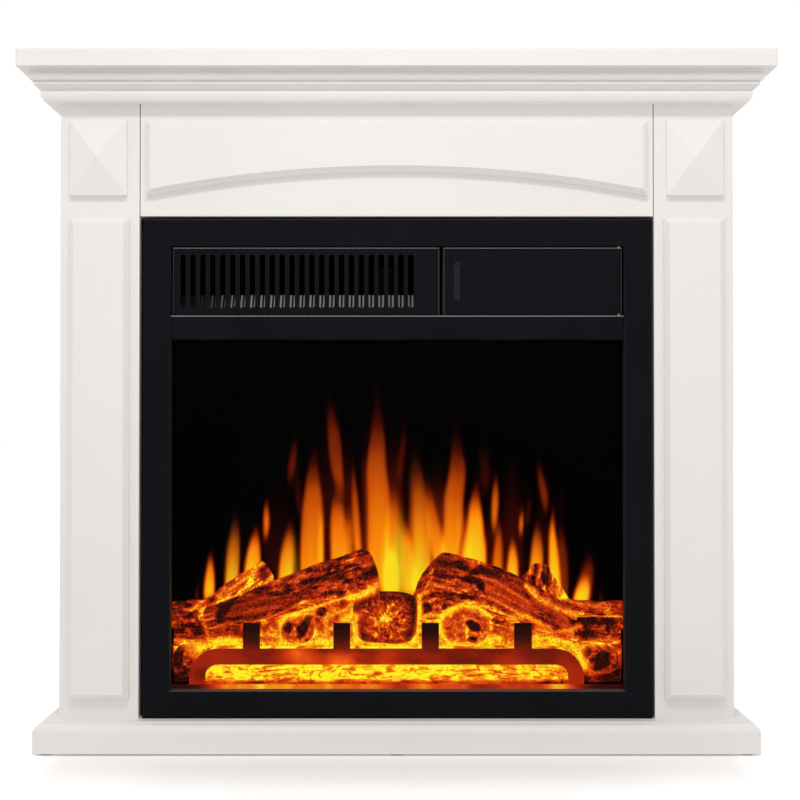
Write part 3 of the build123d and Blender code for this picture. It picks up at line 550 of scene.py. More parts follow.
# Hot seams where two logs touch: points along the seam, half width, warmth it reaches.
SEAMS = [
    ([(-124, 136), (-104, 143), (-75, 151), (-50, 158), (-27, 166)], 4.2, 0.98),
    ([(-128, 133), (-134, 124), (-131, 112), (-118, 105), (-100, 104), (-62, 106)], 4.0, 0.96),
    ([(-226, 157), (-222, 140), (-217, 122), (-214, 106)], 3.0, 0.72),
    ([(-226, 99), (-204, 106), (-178, 106)], 6.0, 1.0), ([(-204, 158), (-184, 170), (-160, 188)], 3.4, 0.8),
    ([(-160, 132), (-140, 138), (-115, 148), (-98, 156)], 1.6, 0.64),
    ([(-60, 128), (-46, 140), (-46, 112)], 5.0, 0.95),
    ([(25, 160), (26, 140), (24, 118), (18, 107)], 4.0, 0.94),
    ([(28, 134), (38, 138), (50, 136)], 3.0, 0.9),
    ([(50, 136), (60, 144), (74, 149), (92, 146), (104, 138)], 3.4, 1.0),
    ([(48, 128), (50, 114), (60, 106), (84, 105), (118, 107)], 5.0, 1.0),
    ([(127, 136), (146, 138), (160, 130)], 4.0, 0.84),
    ([(153, 108), (176, 110), (196, 104), (208, 92), (213, 80)], 4.0, 0.94),
    ([(160, 112), (190, 122), (208, 124)], 3.0, 0.78),
    ([(146, 172), (160, 158), (180, 147), (204, 138)], 4.2, 0.86),
    ([(178, 166), (190, 154), (206, 150), (232, 146)], 2.0, 0.7),
    ([(104, 160), (127, 147), (150, 135), (172, 126)], 2.4, 0.8),
    ([(86, 184), (110, 178), (136, 162), (150, 152)], 2.0, 0.66),
    ([(-48, 106), (-12, 106), (22, 106)], 3.4, 1.0), ([(258, 106), (232, 108), (212, 104)], 2.0, 0.7),
    ([(214, 76), (232, 71), (250, 78), (256, 92)], 2.6, 0.74),
    ([(-228, 72), (-224, 88), (-236, 104), (-252, 108)], 3.0, 0.72),
    ([(-84, 128), (-70, 136), (-56, 142)], 3.0, 0.84), ([(50, 168), (66, 180), (80, 172)], 2.0, 0.62),
]
LOG_LEFT, LOG_RIGHT, LOG_FOOT, LOG_REAR = -256.5, 257.5, 58.0, -7.0
LOG_COLUMNS, LOG_FRONT_ROWS, LOG_BACK_ROWS = 450, 130, 8


def curve(line, u):
    """Quadratic curve through three points: at u = 0, 0.5 and 1."""
    a, b, c = (np.array(p, float) for p in line)
    u = np.asarray(u)[..., None]
    return a * (1 - u) * (1 - 2 * u) + b * 4 * u * (1 - u) + c * u * (2 * u - 1)


def along_line(x, z, points):
    """For each place: distance run along a chain of points, signed distance across it (plus is above),
    and how far it lies beyond either end."""
    points = np.asarray(points, float)
    best = np.full(x.shape, 1e9)
    run, across, beyond = np.zeros(x.shape), np.zeros(x.shape), np.zeros(x.shape)
    start = 0.0
    for i in range(len(points) - 1):
        p, d = points[i], points[i + 1] - points[i]
        length = np.hypot(*d)
        d = d / length
        t = (x - p[0]) * d[0] + (z - p[1]) * d[1]
        w = (z - p[1]) * d[0] - (x - p[0]) * d[1]
        over = np.maximum(-t, 0.0) if i == 0 else 0.0
        over = over + (np.maximum(t - length, 0.0) if i == len(points) - 2 else 0.0)
        inside = np.clip(t, 0.0, length)
        gap = np.hypot(np.where(over > 0, over, t - inside), w)
        nearer = gap < best
        best = np.where(nearer, gap, best)
        run = np.where(nearer, start + inside, run)
        across = np.where(nearer, w, across)
        beyond = np.where(nearer, over, beyond)
        start += length
    return run, across, beyond, best, start


def limb_field(x, z, limb):
    """Height of one limb above the set's rear plane, its bark coordinates, and the distance outside."""
    line, half, base, bulge, cap, power, warmth = limb
    run, across, beyond, _, length = along_line(x, z, curve(line, np.linspace(0, 1, 9)))
    u = run / length
    a, b, c = half
    width = a * (1 - u) * (1 - 2 * u) + b * 4 * u * (1 - u) + c * u * (2 * u - 1)
    width = width + 3.0 * (layered(np.stack([run / 16, np.sign(across) * 3, 0 * x + base], -1), 3, 4) - 0.5)
    r = (np.abs(across / width) ** power + (beyond / cap) ** power) ** (1 / power)
    r = np.where(beyond > 0, r, np.abs(across / width))
    height = np.where(r < 1, base + bulge * np.sqrt(np.clip(1 - r * r, 0, 1)), -99.0)
    return height, run, across, (r - 1) * width


def slab_field(x, z, slab):
    """Height of a split billet, an almond with a nearly flat face, and its grain coordinates."""
    line, half, forward, warmth = slab
    run, across, beyond, _, length = along_line(x, z, curve(line, np.linspace(0, 1, 9)))
    u = run / length
    width = half * np.clip(1 - np.abs(2 * u - 1) ** 2.6, 0, 1) ** 0.7 + 0.01
    r = np.where(beyond > 0, 2.0, np.abs(across) / width)
    height = np.where(r < 1, forward + 2.0 * (1 - r ** 6), -99.0)
    return height, run, across, np.where(beyond > 0, np.hypot(beyond, across), (r - 1) * width)


def end_field(x, z, end):
    """Height of a sawn log end: nearly flat, rounding over at its rim."""
    cx, cz, a, b, power, forward, warmth = end
    angle = np.arctan2(z - cz, x - cx)
    wobble = 1 + 0.10 * (noise(np.stack([np.cos(angle) * 2 + cx, np.sin(angle) * 2, 0 * x], -1), 6) - 0.5)
    r = (np.abs((x - cx) / a) ** power + np.abs((z - cz) / b) ** power) ** (1 / power) / wobble
    height = np.where(r < 1, forward + 3.0 * (1 - r ** 5) - 9.0 * eased(r, 0.86, 1.0), -99.0)
    return height, r, angle, (r - 1) * min(a, b)


def log_skyline(x):
    """Top of the set at each X: the highest place that any limb, slab or end reaches."""
    z = np.linspace(100, 226, 500)[:, None] + 0 * x[None, :]
    xx = x[None, :] + 0 * z
    covered = np.zeros(z.shape, bool)
    for limb in LIMBS.values():
        covered |= limb_field(xx, z, limb)[0] > 0
    for end in ENDS.values():
        covered |= end_field(xx, z, end)[0] > 0
    return np.where(covered, z, 100.0).max(0)


def log_relief(x, z):
    """Forward height and warmth of the whole log set at each X, Z. The frontmost piece wins; its bark
    runs along its own limb; seams, hollows and the light from the embers below are added on top."""
    flat = np.zeros(x.shape)
    web = layered(np.stack([x / 9, z / 7, flat], -1), 3, 51)
    best = -2.0 + 5.0 * web
    glow = 0.50 + 1.0 * (web - 0.5)
    lift = 2.0 * ridged(np.stack([x / 7, z / 6, flat], -1), 3, 52)
    shade, dark = flat.copy(), flat.copy()
    for index, limb in enumerate(LIMBS.values()):
        height, run, across, outside = limb_field(x, z, limb)
        bark = ridged(np.stack([run / 24, across / 4.6, flat + index], -1), 3, 60 + index)
        crust = layered(np.stack([run / 9, across / 5.5, flat + 3 * index], -1), 4, 80 + index)
        fine = ridged(np.stack([run / 5.0, across / 1.7, flat + index], -1), 2, 95 + index)
        own = limb[6] - 0.05 + 0.56 * (bark - 0.42) + 1.05 * (crust - 0.5) + 0.46 * (fine - 0.45)
        # painted light from the embers below: the lower side of each limb glows warmer, its upper side a
        # little less
        under = np.clip(-across / (abs(np.mean(limb[1])) + 1), 0, 1)
        own = own + 0.16 * under ** 2 - 0.06 * (1 - under)
        wins = height > best
        best = np.where(wins, height, best)
        glow = np.where(wins, own, glow)
        lift = np.where(wins, 3.2 * bark + 1.4 * fine + 2.6 * crust, lift)
        touch = np.exp(-np.clip(outside, 0, None) / 3.0) * (height < 0)
        shade = np.maximum(shade * np.where(wins, 0.25, 1.0), np.where(limb[2] + 8 > best, touch, 0))
    for index, slab in enumerate(SLABS.values()):
        height, run, across, outside = slab_field(x, z, slab)
        grain = layered(np.stack([run / 28, across / 2.6, flat + index], -1), 4, 120 + index)
        own = slab[3] + 0.5 * (grain - 0.5) - 0.10 * eased(outside, -3.5, -1.0) + 0.05 * np.sign(-across)
        wins = height > best
        best = np.where(wins, height, best)
        glow = np.where(wins, own, glow)
        lift = np.where(wins, 1.6 * grain, lift)
        shade = shade * np.where(wins, 0.0, 1.0)
        rim = np.exp(-np.clip(outside - 0.6, 0, None) / 2.2) * (height < 0)
        dark = np.maximum(dark, rim * (1 - 0.75 * eased(run, 10, 70)))
    for index, (name, end) in enumerate(ENDS.items()):
        height, r, angle, outside = end_field(x, z, end)
        rough = layered(np.stack([x / 3.4, z / 3.4, flat + index], -1), 4, 140 + index)
        rays = noise(np.stack([np.cos(angle) * 7, np.sin(angle) * 7, r * 2.5], -1), 150 + index)
        fork = noise(np.stack([np.cos(angle) * 16, np.sin(angle) * 16, r * 5.0], -1), 160 + index)
        vein = np.exp(-((rays - 0.5) / 0.07) ** 2) * 0.6 + np.exp(-((fork - 0.5) / 0.09) ** 2) * 0.4
        radial = 1.0 if name == "centre" else 0.25
        own = end[6] + 0.80 * (rough - 0.5) - 0.20 * eased(r, 0.62, 0.88) * (name == "centre")
        own = own + radial * (0.62 * vein * (1 - eased(r, 0.45, 0.92)) + 0.50 * np.exp(-(r / 0.16) ** 2))
        wins = height > best
        best = np.where(wins, height, best)
        glow = np.where(wins, own, glow)
        lift = np.where(wins, 3.0 * rough, lift)
        shade = shade * np.where(wins, 0.0, 1.0)
        shade = np.maximum(shade, np.exp(-np.clip(outside, 0, None) / 3.4) * (height < 0) * 0.9)
    glow = glow + 0.42 * shade - 0.36 * dark
    jitter = layered(np.stack([x / 6, z / 6, flat], -1), 3, 170)
    for sx, sz, a, b, turn, warmth, depth, rim in SPOTS:
        c, s = math.cos(math.radians(turn)), math.sin(math.radians(turn))
        du, dv = (x - sx) * c + (z - sz) * s, -(x - sx) * s + (z - sz) * c
        r = np.hypot(du / a, dv / b) + (jitter - 0.5) * 0.9
        core = 1 - eased(r, 0.62, 1.08)
        glow = glow + warmth * core + rim * np.exp(-((r - 1.18) / 0.16) ** 2)
        lift = lift - depth * core
    for points, half, reach in SEAMS:
        _, _, _, gap, _ = along_line(x, z, points)
        near = np.exp(-(gap / half) ** 2 * (0.55 + 0.9 * jitter)) * (0.72 + 0.5 * jitter)
        glow = glow + np.clip(reach - glow, 0, None) * np.clip(near, 0, 1)
        lift = lift - 1.5 * near
    bed = np.exp(-np.clip(z - 103, 0, None) / 5.0) * eased(x, -222, -200) * (1 - eased(x, 186, 212))
    glow = glow + np.clip(0.98 - glow, 0, None) * bed * (0.75 + 0.5 * (jitter - 0.5))
    glow = glow - 0.35 * eased(np.abs(x), 205, 262) * (1 - eased(z, 70, 100)) - 0.4 * (1 - eased(z, 60, 72))
    return best + lift, np.clip(glow, 0.02, 1.08)


def make_logs():
    """Each X column is one closed outline: up the relief in front, over the skyline, down the back."""
    x = np.linspace(LOG_LEFT, LOG_RIGHT, LOG_COLUMNS)
    top = log_skyline(x)
    share = np.linspace(0, 1, LOG_FRONT_ROWS)[:, None]
    z = LOG_FOOT + (top[None, :] - LOG_FOOT) * share
    forward, glow = log_relief(x[None, :] + 0 * z, z)
    down = np.linspace(1, 0, LOG_BACK_ROWS)[1:, None]
    z_back = LOG_FOOT + (top[None, :] - 2.0 - LOG_FOOT) * down
    z = np.concatenate([z, z_back])
    forward = np.concatenate([forward, LOG_REAR + 0 * z_back])
    hidden = layered(np.stack([x[None, :] / 12 + 0 * z_back, z_back / 12, 0 * z_back], -1), 3, 8)
    glow = np.concatenate([glow, 0.16 + 0.2 * hidden])
    rings = np.stack([x[None, :] + 0 * z, -forward, z], -1).transpose(1, 0, 2)
    points, faces = closed_tube(rings)
    attributes = {"glow": add_pole_values(glow.T)}
    replaced = ["log_left_back", "log_left_front", "log_centre", "log_right_front", "log_right_back",
                "log_chunks"]
    mesh_piece("log_set", points, faces, attributes, glowing_bark("glowing_bark"), replaced)


def add_pole_values(values):
    """Per-vertex numbers with one more for each end pole."""
    return np.concatenate([values.reshape(-1), [values[0].mean(), values[-1].mean()]])


# ---------------------------------------------------------------- ember bed
def make_embers():
    """A lumpy bed: section (Y, Z) from the floor up the front face and over the crest, carried across X
    and pushed out by layered noise; bright yellow, with orange folds lying along it."""
    x0, x1, z_floor = -213.0, 193.0, 58.0
    columns, rows = 400, 120
    section = np.array([(-44, z_floor), (-46.5, 61), (-47.5, 66), (-47, 90), (-45, 97), (-41, 102),
                        (-34, 104), (-24, 103), (-18, 96), (-16, 88), (8, 88), (8, z_floor)], float)
    reach = np.concatenate([[0], np.cumsum(np.linalg.norm(np.diff(section, axis=0), axis=1))])
    s = np.linspace(0, reach[-1], rows)
    y = np.interp(s, reach, section[:, 0])[:, None]
    z = np.interp(s, reach, section[:, 1])[:, None]
    x = np.linspace(x0, x1, columns)[None, :] + 0 * y
    y, z = y + 0 * x, z + 0 * x
    flow = layered(np.stack([x / 40, z / 18, 0 * x], -1), 3, 12) * 6.0
    fold = ridged(np.stack([x / 17 + flow, z / 3.6 + flow * 0.5, 0 * x], -1), 3, 6)
    lump = layered(np.stack([x / 8, y / 6, z / 6], -1), 4, 2)
    inside = eased(x, x0, x0 + 8) * (1 - eased(x, x1 - 8, x1)) * eased(z, z_floor, z_floor + 8)
    push = (fold * 2.6 + lump * 3.4 - 2.6) * inside
    corner = 5.0 * (1 - eased(x, x0, x0 + 8)) + 5.0 * eased(x, x1 - 8, x1)
    crest = z > 95
    points = np.stack([x, y - push * 0.5 * ~crest, z - corner * (z > 80) + 0.4 * push * crest], -1)
    right_fade = eased(x, 20, 180) * 0.12
    heat = 0.97 - 0.36 * eased(fold, 0.42, 0.9) + (lump - 0.5) * 0.45 - right_fade
    heat = heat - 0.40 * (1 - eased(z, 66.0, 71.0))
    points, faces = closed_tube(points.transpose(1, 0, 2))
    attributes = {"glow": add_pole_values(heat.T)}
    mesh_piece("ember_bed_ash", points, faces, attributes, ember_glow("ember_glow"), ["ember_bed"])
    make_front_lip(-256.0, 257.0)


def make_front_lip(x0, x1):
    """The moulding's front lip under the bed: a low rounded bar across the window, bright in the middle
    and dark towards both ends."""
    rings_across, corners = 300, 40
    across = np.linspace(x0, x1, rings_across)[:, None]
    v = np.linspace(0, 2 * np.pi, corners, endpoint=False)[None, :]
    y = -56.0 - 5.5 * np.sign(np.cos(v)) * np.abs(np.cos(v)) ** 0.6 + 0 * across
    z = 56.0 + 10.0 * np.sign(np.sin(v)) * np.abs(np.sin(v)) ** 0.6 + 0 * across
    rings = np.stack([across + 0 * v, y, z], -1)
    ends = eased(across, -232, -186) * (1 - eased(across, 184, 230))
    streak = layered(np.stack([across / 30 + 0 * v, 0 * across * v, 0 * across * v], -1), 3, 8)
    left_hot = np.exp(-((across + 145) / 38) ** 2) * 0.22 + np.exp(-((across - 172) / 30) ** 2) * 0.10
    heat = 0.06 + ends * (0.52 + 0.7 * (streak - 0.5) + left_hot) - 0.10 * (np.sin(v) < 0.2) + 0 * v
    points, faces = closed_tube(rings)
    mesh_piece("ember_bed_lip", points, faces, {"glow": add_pole_values(heat)}, glowing_lip("glowing_lip"),
               ())


def glowing_lip(name):
    """Smooth translucent lip, orange where the light under the bed comes through."""
    f = Finish(name)
    heat = f.attribute("glow") + (f.noise(300.0, 3.0) - 0.5) * 0.12
    return f.surface(base_color=linear(5, 1, 0), roughness=0.4 + f.noise(90.0) * 0.2, specular_ior_level=0.04,
                     emission_color=f.ramp(heat, EMBER_STOPS), emission_strength=1.0)


# ---------------------------------------------------------------- flame picture
# A tongue: tip X, Z; foot X, Z; half width; sideways bow; where it is widest (0 foot, 1 tip); how much it
# narrows at the foot; heat at the foot and at the tip; green tint; softness of its left and right edge.
TONGUES = [
    (-216, 211, -219, 150, 7, 0, 0.25, 0.05, 0.99, 0.42, 0, 0.55, 0.3),
    (-232, 173, -232, 147, 2.6, 0, 0.3, 0, 0.4, 0.2, 0, 0.7, 0.7),
    (-188, 257, -193, 159, 8.8, 0, 0.42, 0, 0.97, 0.12, 0.35, 0.55, 0.3),
    (-164, 240, -171, 167, 9.8, 0, 0.32, 0, 0.97, 0.52, 0, 0.6, 0.12),
    (-151, 271, -154, 212, 4.4, 0, 0.5, 1, 0.68, 0.55, 0, 0.5, 0.4),
    (-124, 247, -130, 164, 10, 0, 0.34, 0, 0.97, 0.34, 0.12, 0.5, 0.5),
    (-121, 240, -121, 164, 6, 0, 0.36, 0, 0.6, 0.2, 1, 0.6, 0.35),
    (-117, 344, -125, 281, 5.3, 1.2, 0.45, 0.8, 0.32, 0.2, 0, 0.5, 0.35),
    (-94, 335, -100, 161, 14, -1.7, 0.4, 0.05, 0.8, 0.32, 0, 0.35, 0.25),
    (-89, 275, -88, 161, 3.7, 0, 0.3, 0, 0.84, 0.45, 0, 0.6, 0.3),
    (-80, 394, -64, 264, 8.8, 0, 0.55, 0.6, 0.5, 0.18, 0, 0.6, 0.3),
    (-70, 289, -65, 173, 11.6, 0, 0.48, 0, 0.84, 0.42, 0, 0.3, 0.6),
    (-56, 266, -56, 173, 5.8, 0, 0.4, 0, 0.68, 0.4, 0, 0.5, 0.6),
    (-49, 329, -44, 190, 5.3, -2.3, 0.32, 0.2, 0.74, 0.2, 0, 0.5, 0.4),
    (-24, 402, -22, 159, 13.3, 0, 0.46, 0.1, 0.84, 0.2, 0, 0.3, 0.2),
    (9, 368, 2, 273, 5.3, 0, 0.45, 0.8, 0.28, 0.13, 0, 0.6, 0.5),
    (19, 340, 28, 154, 15.1, 1.2, 0.45, 0.1, 1.02, 0.1, 0.14, 0.8, 0.45),
    (4, 273, 1, 154, 9.3, 0, 0.34, 0, 0.95, 0.45, 0.7, 0.8, 0.8),
    (7, 254, 16, 154, 15.1, 0, 0.3, 0, 0.95, 0.55, 0, 0.8, 0.8),
    (68, 361, 57, 179, 12.6, 4.7, 0.5, 0.2, 0.86, 0.16, 0, 0.45, 0.25),
    (35, 301, 55, 179, 10.5, -3.5, 0.35, 0, 0.82, 0.3, 0, 0.5, 0.5),
    (93, 293, 83, 167, 14.4, 1.2, 0.22, 0, 1.04, 0.55, 0, 0.6, 0.14),
    (99, 340, 101, 266, 6.4, 0, 0.5, 0.9, 0.2, 0.1, 0, 0.8, 0.7),
    (106, 329, 104, 266, 4.1, 0, 0.5, 0.9, 0.2, 0.1, 0, 0.8, 0.7),
    (115, 303, 113, 219, 4.7, 0, 0.5, 0.9, 0.74, 0.42, 0.15, 0.45, 0.35),
    (103, 229, 101, 179, 2.3, 0, 0.3, 0, 0.92, 0.7, 0, 0.5, 0.3),
    (121, 252, 116, 159, 8.1, 0, 0.3, 0, 0.72, 0.42, 0, 0.4, 0.8),
    (135, 228, 133, 161, 7.3, 0, 0.3, 0, 1, 0.55, 0, 0.5, 0.12),
    (146, 259, 145, 219, 3.1, 0, 0.5, 1, 0.76, 0.6, 0.1, 0.5, 0.5),
    (163, 319, 174, 245, 5.6, 0, 0.45, 0.8, 0.42, 0.22, 0, 0.5, 0.4),
    (165, 250, 160, 161, 8.1, 0, 0.36, 0, 0.98, 0.22, 0.1, 0.4, 0.25),
    (182, 266, 185, 147, 6.7, -1.7, 0.25, 0, 1.06, 0.6, 0, 0.35, 0.3),
    (190, 252, 193, 147, 7.4, 1.2, 0.4, 0, 0.4, 0.2, 0, 0.6, 0.5),
    (225, 210, 216, 145, 10.9, 0, 0.4, 0, 0.42, 0.22, 0, 0.6, 0.6),
    (220, 183, 212, 143, 9.8, 0, 0.35, 0, 1.06, 0.55, 0, 0.4, 0.35),
    (237, 166, 237, 143, 4, 0, 0.3, 0, 0.28, 0.15, 0, 0.8, 0.8),
    (192, 280, 190, 250, 3.5, 0, 0.5, 1, 0.17, 0.1, 0, 0.8, 0.8),
    (133, 322, 137, 145, 17.4, 0, 0.45, 0, 0.21, 0.08, 0, 0.7, 0.7),
    (153, 282, 153, 231, 4.1, 0, 0.5, 0.5, 0.22, 0.12, 0, 0.7, 0.7),
    (166, 266, 176, 145, 16.3, 0, 0.45, 0, 0.2, 0.1, 0, 0.7, 0.5),
    (-138, 289, -141, 145, 20.9, 0, 0.45, 0, 0.17, 0.05, 0, 0.8, 0.6),
    (-81, 353, -81, 150, 14, 0, 0.5, 0, 0.2, 0.08, 0, 0.7, 0.6),
    (-116, 312, -114, 243, 4.7, 0, 0.5, 0.6, 0.2, 0.1, 0, 0.8, 0.5),
    (-39, 359, -36, 161, 5.8, 0, 0.5, 0, 0.3, 0.12, 0, 0.8, 0.5),
    (-6, 359, -2, 154, 15.1, 0, 0.5, 0, 0.3, 0.1, 0, 0.6, 0.6),
    (-3, 301, -9, 154, 14, 0, 0.4, 0, 0.98, 0.3, 0, 0.7, 0.8),
    (-6, 224, -7, 150, 9.9, 0, 0.35, 0, 1.06, 0.72, 0, 0.6, 0.5),
    (47, 318, 48, 154, 16.3, 0, 0.45, 0, 0.42, 0.12, 0, 0.6, 0.6),
    (84, 266, 71, 173, 14, 0, 0.3, 0, 0.6, 0.25, 0, 0.6, 0.4),
    (-58, 336, -58, 173, 14, 0, 0.5, 0, 0.3, 0.1, 0, 0.6, 0.6),
    (106, 266, 107, 150, 8.1, 0, 0.4, 0, 0.24, 0.1, 0, 0.5, 0.5),
]


def flame_field(x, z):
    """Heat and tint of the flame picture. A tongue is a half width that is widest part of the way up and
    closes to a point, about a spine from foot to tip; its heat falls towards the tip and its edges. The
    tongues join by the cube root of the sum of their cubes, and fine upright streaks run through all."""
    streak = noise(np.stack([x / 3.0, z / 110, 0 * x], -1), 5) * 0.6
    streak = streak + noise(np.stack([x / 8.0, z / 80, 0 * x], -1), 6) * 0.4
    sway = (noise(np.stack([x / 70, z / 38, 0 * x], -1), 3) - 0.5) * 4.0 * eased(z, 190, 260)
    total, weight, green = np.zeros(x.shape), np.full(x.shape, 1e-6), np.zeros(x.shape)
    for tip_x, tip_z, foot_x, foot_z, half, bow, full, narrow, hot, cool, tint, soft_l, soft_r in TONGUES:
        s = (z - foot_z) / (tip_z - foot_z)
        u = np.clip(s, 0.0, 1.0)
        centre = foot_x + (tip_x - foot_x) * u + bow * np.sin(np.pi * u) + sway
        upper = np.clip((u - full) / (1 - full), 0, 1)
        lower = np.clip(1 - u / full, 0, 1)
        width = half * np.where(u > full, (1 - upper ** 1.6) ** 0.95, 1 - narrow * lower ** 2.2)
        side = (x - centre) / np.maximum(width, 0.3)
        left, right = eased(side, -1.12, -1.12 + soft_l * 1.1), eased(-side, -1.12, -1.12 + soft_r * 1.1)
        ends = eased(s, -0.10, 0.06 + 0.3 * narrow) * (1 - 0.75 * eased(s, 0.62, 1.0)) * (s < 1)
        core = hot + (cool - hot) * u ** 1.15
        own = (core + (streak - 0.5) * 0.16 * core) * (left * right) ** 0.75 * ends
        own = own * (1 - 0.10 * np.clip(np.abs(side), 0, 1) ** 2)
        total = total + own ** 3
        weight = weight + own ** 6
        green = green + tint * own ** 6
    return np.cbrt(total), green / weight


def smeared(field, across, up):
    """Blurs a grid by repeated three-point averages: a little across, more up and down."""
    for axis, times in ((1, across), (0, up)):
        for _ in range(times):
            field = 0.25 * np.roll(field, 1, axis) + 0.5 * field + 0.25 * np.roll(field, -1, axis)
    return field


def make_flames():
    """The flame screen as a fine flat grid in front, closed by its plain sides and back."""
    low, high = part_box("flame_screen")
    columns, rows = 436, 214
    x = np.linspace(low[0] / MM, high[0] / MM, columns)[None, :]
    z = np.linspace(low[2] / MM, high[2] / MM, rows)[:, None]
    x, z = x + 0 * z, z + 0 * x
    heat, tint = flame_field(x, z)
    heat, tint = np.clip(smeared(heat, 3, 15), 0, 1), smeared(tint, 3, 6)
    y = np.full_like(x, low[1] / MM)
    front = np.stack([x, y, z], -1)
    rim = front[[0, 0, -1, -1], [0, -1, -1, 0]] + np.array([0, 2.0, 0])
    points = np.concatenate([front.reshape(-1, 3), rim])
    faces = grid_faces(rows, columns).tolist()
    base = rows * columns
    bottom = np.arange(columns)
    top = base - columns + bottom
    left = np.arange(rows) * columns
    right = left + columns - 1
    faces.append([base, base + 3, base + 2, base + 1])
    faces.append([base, base + 1] + bottom[::-1].tolist())
    faces.append([base + 2, base + 3] + top.tolist())
    faces.append([base + 3, base] + left.tolist())
    faces.append([base + 1, base + 2] + right[::-1].tolist())
    attributes = {"glow": np.concatenate([heat.ravel(), np.zeros(4)]),
                  "tint": np.concatenate([tint.ravel(), np.zeros(4)])}
    material = flame_picture("flame_picture")
    piece = mesh_piece("flame_picture", points, faces, attributes, material, ["flame_screen"])
    piece.data.polygons.foreach_set("use_smooth", [False] * len(piece.data.polygons))


# ---------------------------------------------------------------- finishes on the carried-over nodes
def dress(material, *names):
    """Gives one material to every slot of the named CAD nodes."""
    for name in names:
        for place in nodes[name].material_slots:
            place.material = material


def dress_nodes():
    """The finish of every CAD node that the visual model keeps as it is."""
    paint_x, paint_z = white_paint("white_paint_across", "X"), white_paint("white_paint_upright", "Z")
    paint_y = white_paint("white_paint_returns", "Y")
    dress(paint_x, "mantel_shelf", "crown_front", "header_board", "header_arch_panel", "plinth_front",
          "plinth_deck")
    dress(paint_y, "crown_left", "crown_right", "plinth_left", "plinth_right")
    dress(paint_z, "pilaster_left", "pilaster_right", "pilaster_panel_left", "pilaster_panel_right",
          "rosette_left", "rosette_right", "side_panel_left", "side_panel_right")
    dress(raw_board("raw_board"), "rear_top_rail")
    dress(black_satin("frame_satin", highlight_strength=0.22), "front_frame")
    dress(black_satin("black_satin"), "heater_grille", "lower_rail")
    dress(black_satin("door_satin", True), "control_door")
    dress(dark_casing("dark_casing"), "firebox_floor", "firebox_top", "firebox_left_wall",
          "firebox_right_wall", "rear_cover", "heater_shelf", "insert_brackets", "glass_clips",
          "blower_housing")
    dress(black_moulding("black_moulding", 0.1), "control_panel", "door_catch", "thermostat_knob",
          "flame_dimmer_knob", "cable_gland", "floor_glides")
    dress(black_moulding("rocker_gloss", 0.8), "power_rocker", "heat_rocker")
    bright = metal("bright_steel", linear(120, 118, 114), linear(206, 203, 198), 0.24, (1.0, 1.0, 8.0))
    dress(bright, "door_hinge_pins", "flame_rotor")
    dress(dim_outlet("dim_outlet"), "outlet_deflector")
    zinc = metal("zinc_sheet", linear(112, 114, 116), linear(176, 178, 180), 0.38, spangle=0.6)
    dress(zinc, "casing_screws")
    dress(metal("motor_steel", linear(58, 56, 54), linear(120, 116, 110), 0.42), "flame_motor")
    sooty = metal("sooty_aluminium", linear(16, 16, 17), linear(44, 44, 46), 0.5, (8.0, 1.0, 1.0))
    dress(sooty, "blower_wheel", "blower_motor")
    dress(circuit_board("circuit_board"), "control_board", "led_board")
    dress(heater_parts("heater_parts"), "heating_element")
    dress(window_glass("window_glass"), "front_glass")
    dress(grate_glow("grate_glow"), "fire_grate")


# ---------------------------------------------------------------- stage, light and camera
def make_stage():
    """A flat pale floor. The camera sees it lifted to white, less so in front of the plinth, which paints a
    soft shadow there; the lift lights nothing else."""
    size, lift, painted_shadow_depth = 14.0, 0.42, 0.72
    f = Finish("pale_floor")
    cloud = f.noise(1.5, 2.0)
    seen = Value(f, f.node("ShaderNodeLightPath").outputs["Is Camera Ray"])
    # painted shadow: the lift is held back in a patch from a little in front of the plinth backwards, as wide
    # as the plinth
    near = f.axis("Y").above(-0.30, -0.13) * (1 - abs(f.axis("X")).above(0.34, 0.41))
    shown = f.mix(seen * (1 - near * painted_shadow_depth), linear(0, 0, 0), linear(255, 255, 255))
    material = f.surface(base_color=f.mix(cloud, linear(250, 250, 250), linear(246, 246, 246)),
                         roughness=0.38 + cloud * 0.05, specular_ior_level=0.2,
                         emission_color=shown, emission_strength=lift)
    corners = [(-size, -size, 0), (size, -size, 0), (size, size, 0), (-size, size, 0)]
    mesh = bpy.data.meshes.new("floor")
    mesh.from_pydata(corners, [], [(0, 1, 2, 3)])
    mesh.materials.append(material)
    floor = bpy.data.objects.new("floor", mesh)
    bpy.context.scene.collection.objects.link(floor)


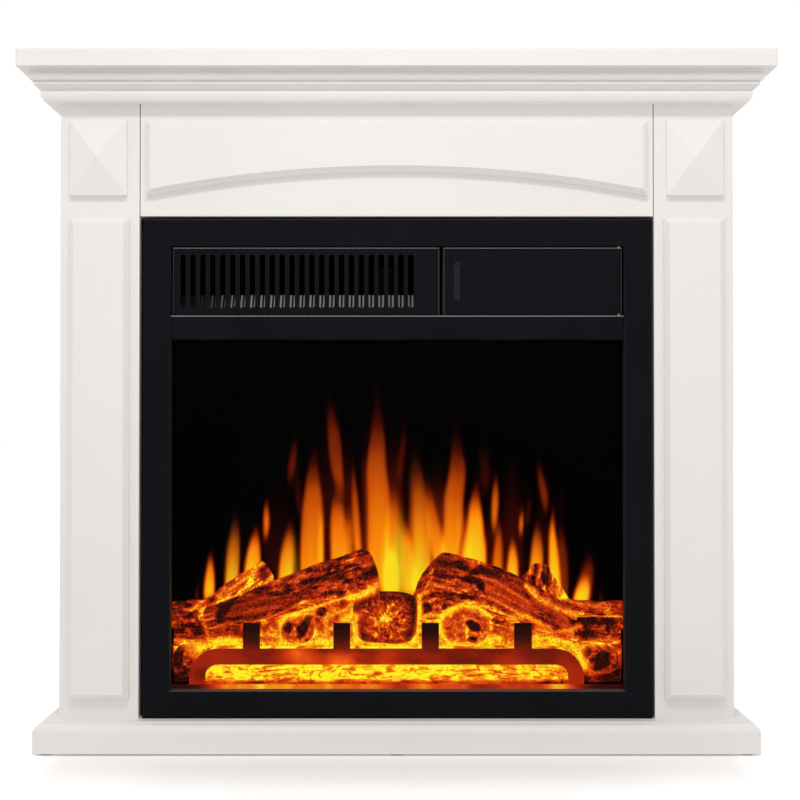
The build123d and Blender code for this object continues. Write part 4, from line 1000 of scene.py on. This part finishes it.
def area_light(name, place, aim, size, power, colour):
    """A rectangular light at a place, turned to face its aim."""
    lamp = bpy.data.lights.new(name, "AREA")
    lamp.shape, lamp.size, lamp.size_y = "RECTANGLE", size[0], size[1]
    lamp.energy, lamp.color = power, colour
    holder = bpy.data.objects.new(name, lamp)
    holder.location = place
    direction = np.array(aim) - np.array(place)
    yaw = math.atan2(direction[1], direction[0]) - math.pi / 2
    pitch = math.atan2(direction[2], math.hypot(direction[0], direction[1])) + math.pi / 2
    holder.rotation_euler = (pitch, 0, yaw)
    bpy.context.scene.collection.objects.link(holder)


def make_light():
    """An even world that the camera sees as white, and one soft key, high and close in front."""
    fill_strength, fill_colour = 0.80, (1.0, 0.972, 0.962, 1.0)
    key_place, key_aim, key_size = (-0.03, -0.98, 1.55), (0, -0.08, 0.45), (0.5, 0.15)
    key_power, key_colour = 5.3, (1.0, 0.99, 0.975)
    world = bpy.data.worlds.new("studio")
    bpy.context.scene.world = world
    world.use_nodes = True
    tree = world.node_tree
    tree.nodes.clear()
    seen = tree.nodes.new("ShaderNodeLightPath").outputs["Is Camera Ray"]
    shown = tree.nodes.new("ShaderNodeBackground")
    shown.inputs[0].default_value = (1.0, 1.0, 1.0, 1.0)
    fill = tree.nodes.new("ShaderNodeBackground")
    fill.inputs[0].default_value = fill_colour
    fill.inputs[1].default_value = fill_strength
    both = tree.nodes.new("ShaderNodeMixShader")
    tree.links.new(seen, both.inputs[0])
    tree.links.new(fill.outputs[0], both.inputs[1])
    tree.links.new(shown.outputs[0], both.inputs[2])
    output = tree.nodes.new("ShaderNodeOutputWorld")
    tree.links.new(both.outputs[0], output.inputs[0])
    area_light("key", key_place, key_aim, key_size, key_power, key_colour)


def make_camera():
    """A camera in front of the middle, a little under mid height, looking very slightly up."""
    place, tilt = (0.0036, -1.520, 0.3619), 90.748
    camera = bpy.data.cameras.new("camera")
    camera.lens, camera.sensor_width = 59.32, 36.0
    holder = bpy.data.objects.new("camera", camera)
    holder.location = place
    holder.rotation_euler = (math.radians(tilt), 0, 0)
    bpy.context.scene.collection.objects.link(holder)
    bpy.context.scene.camera = holder


bpy.context.scene.view_settings.view_transform = "Standard"
make_camera()
make_light()
make_stage()
dress_nodes()
make_logs()
make_embers()
make_flames()
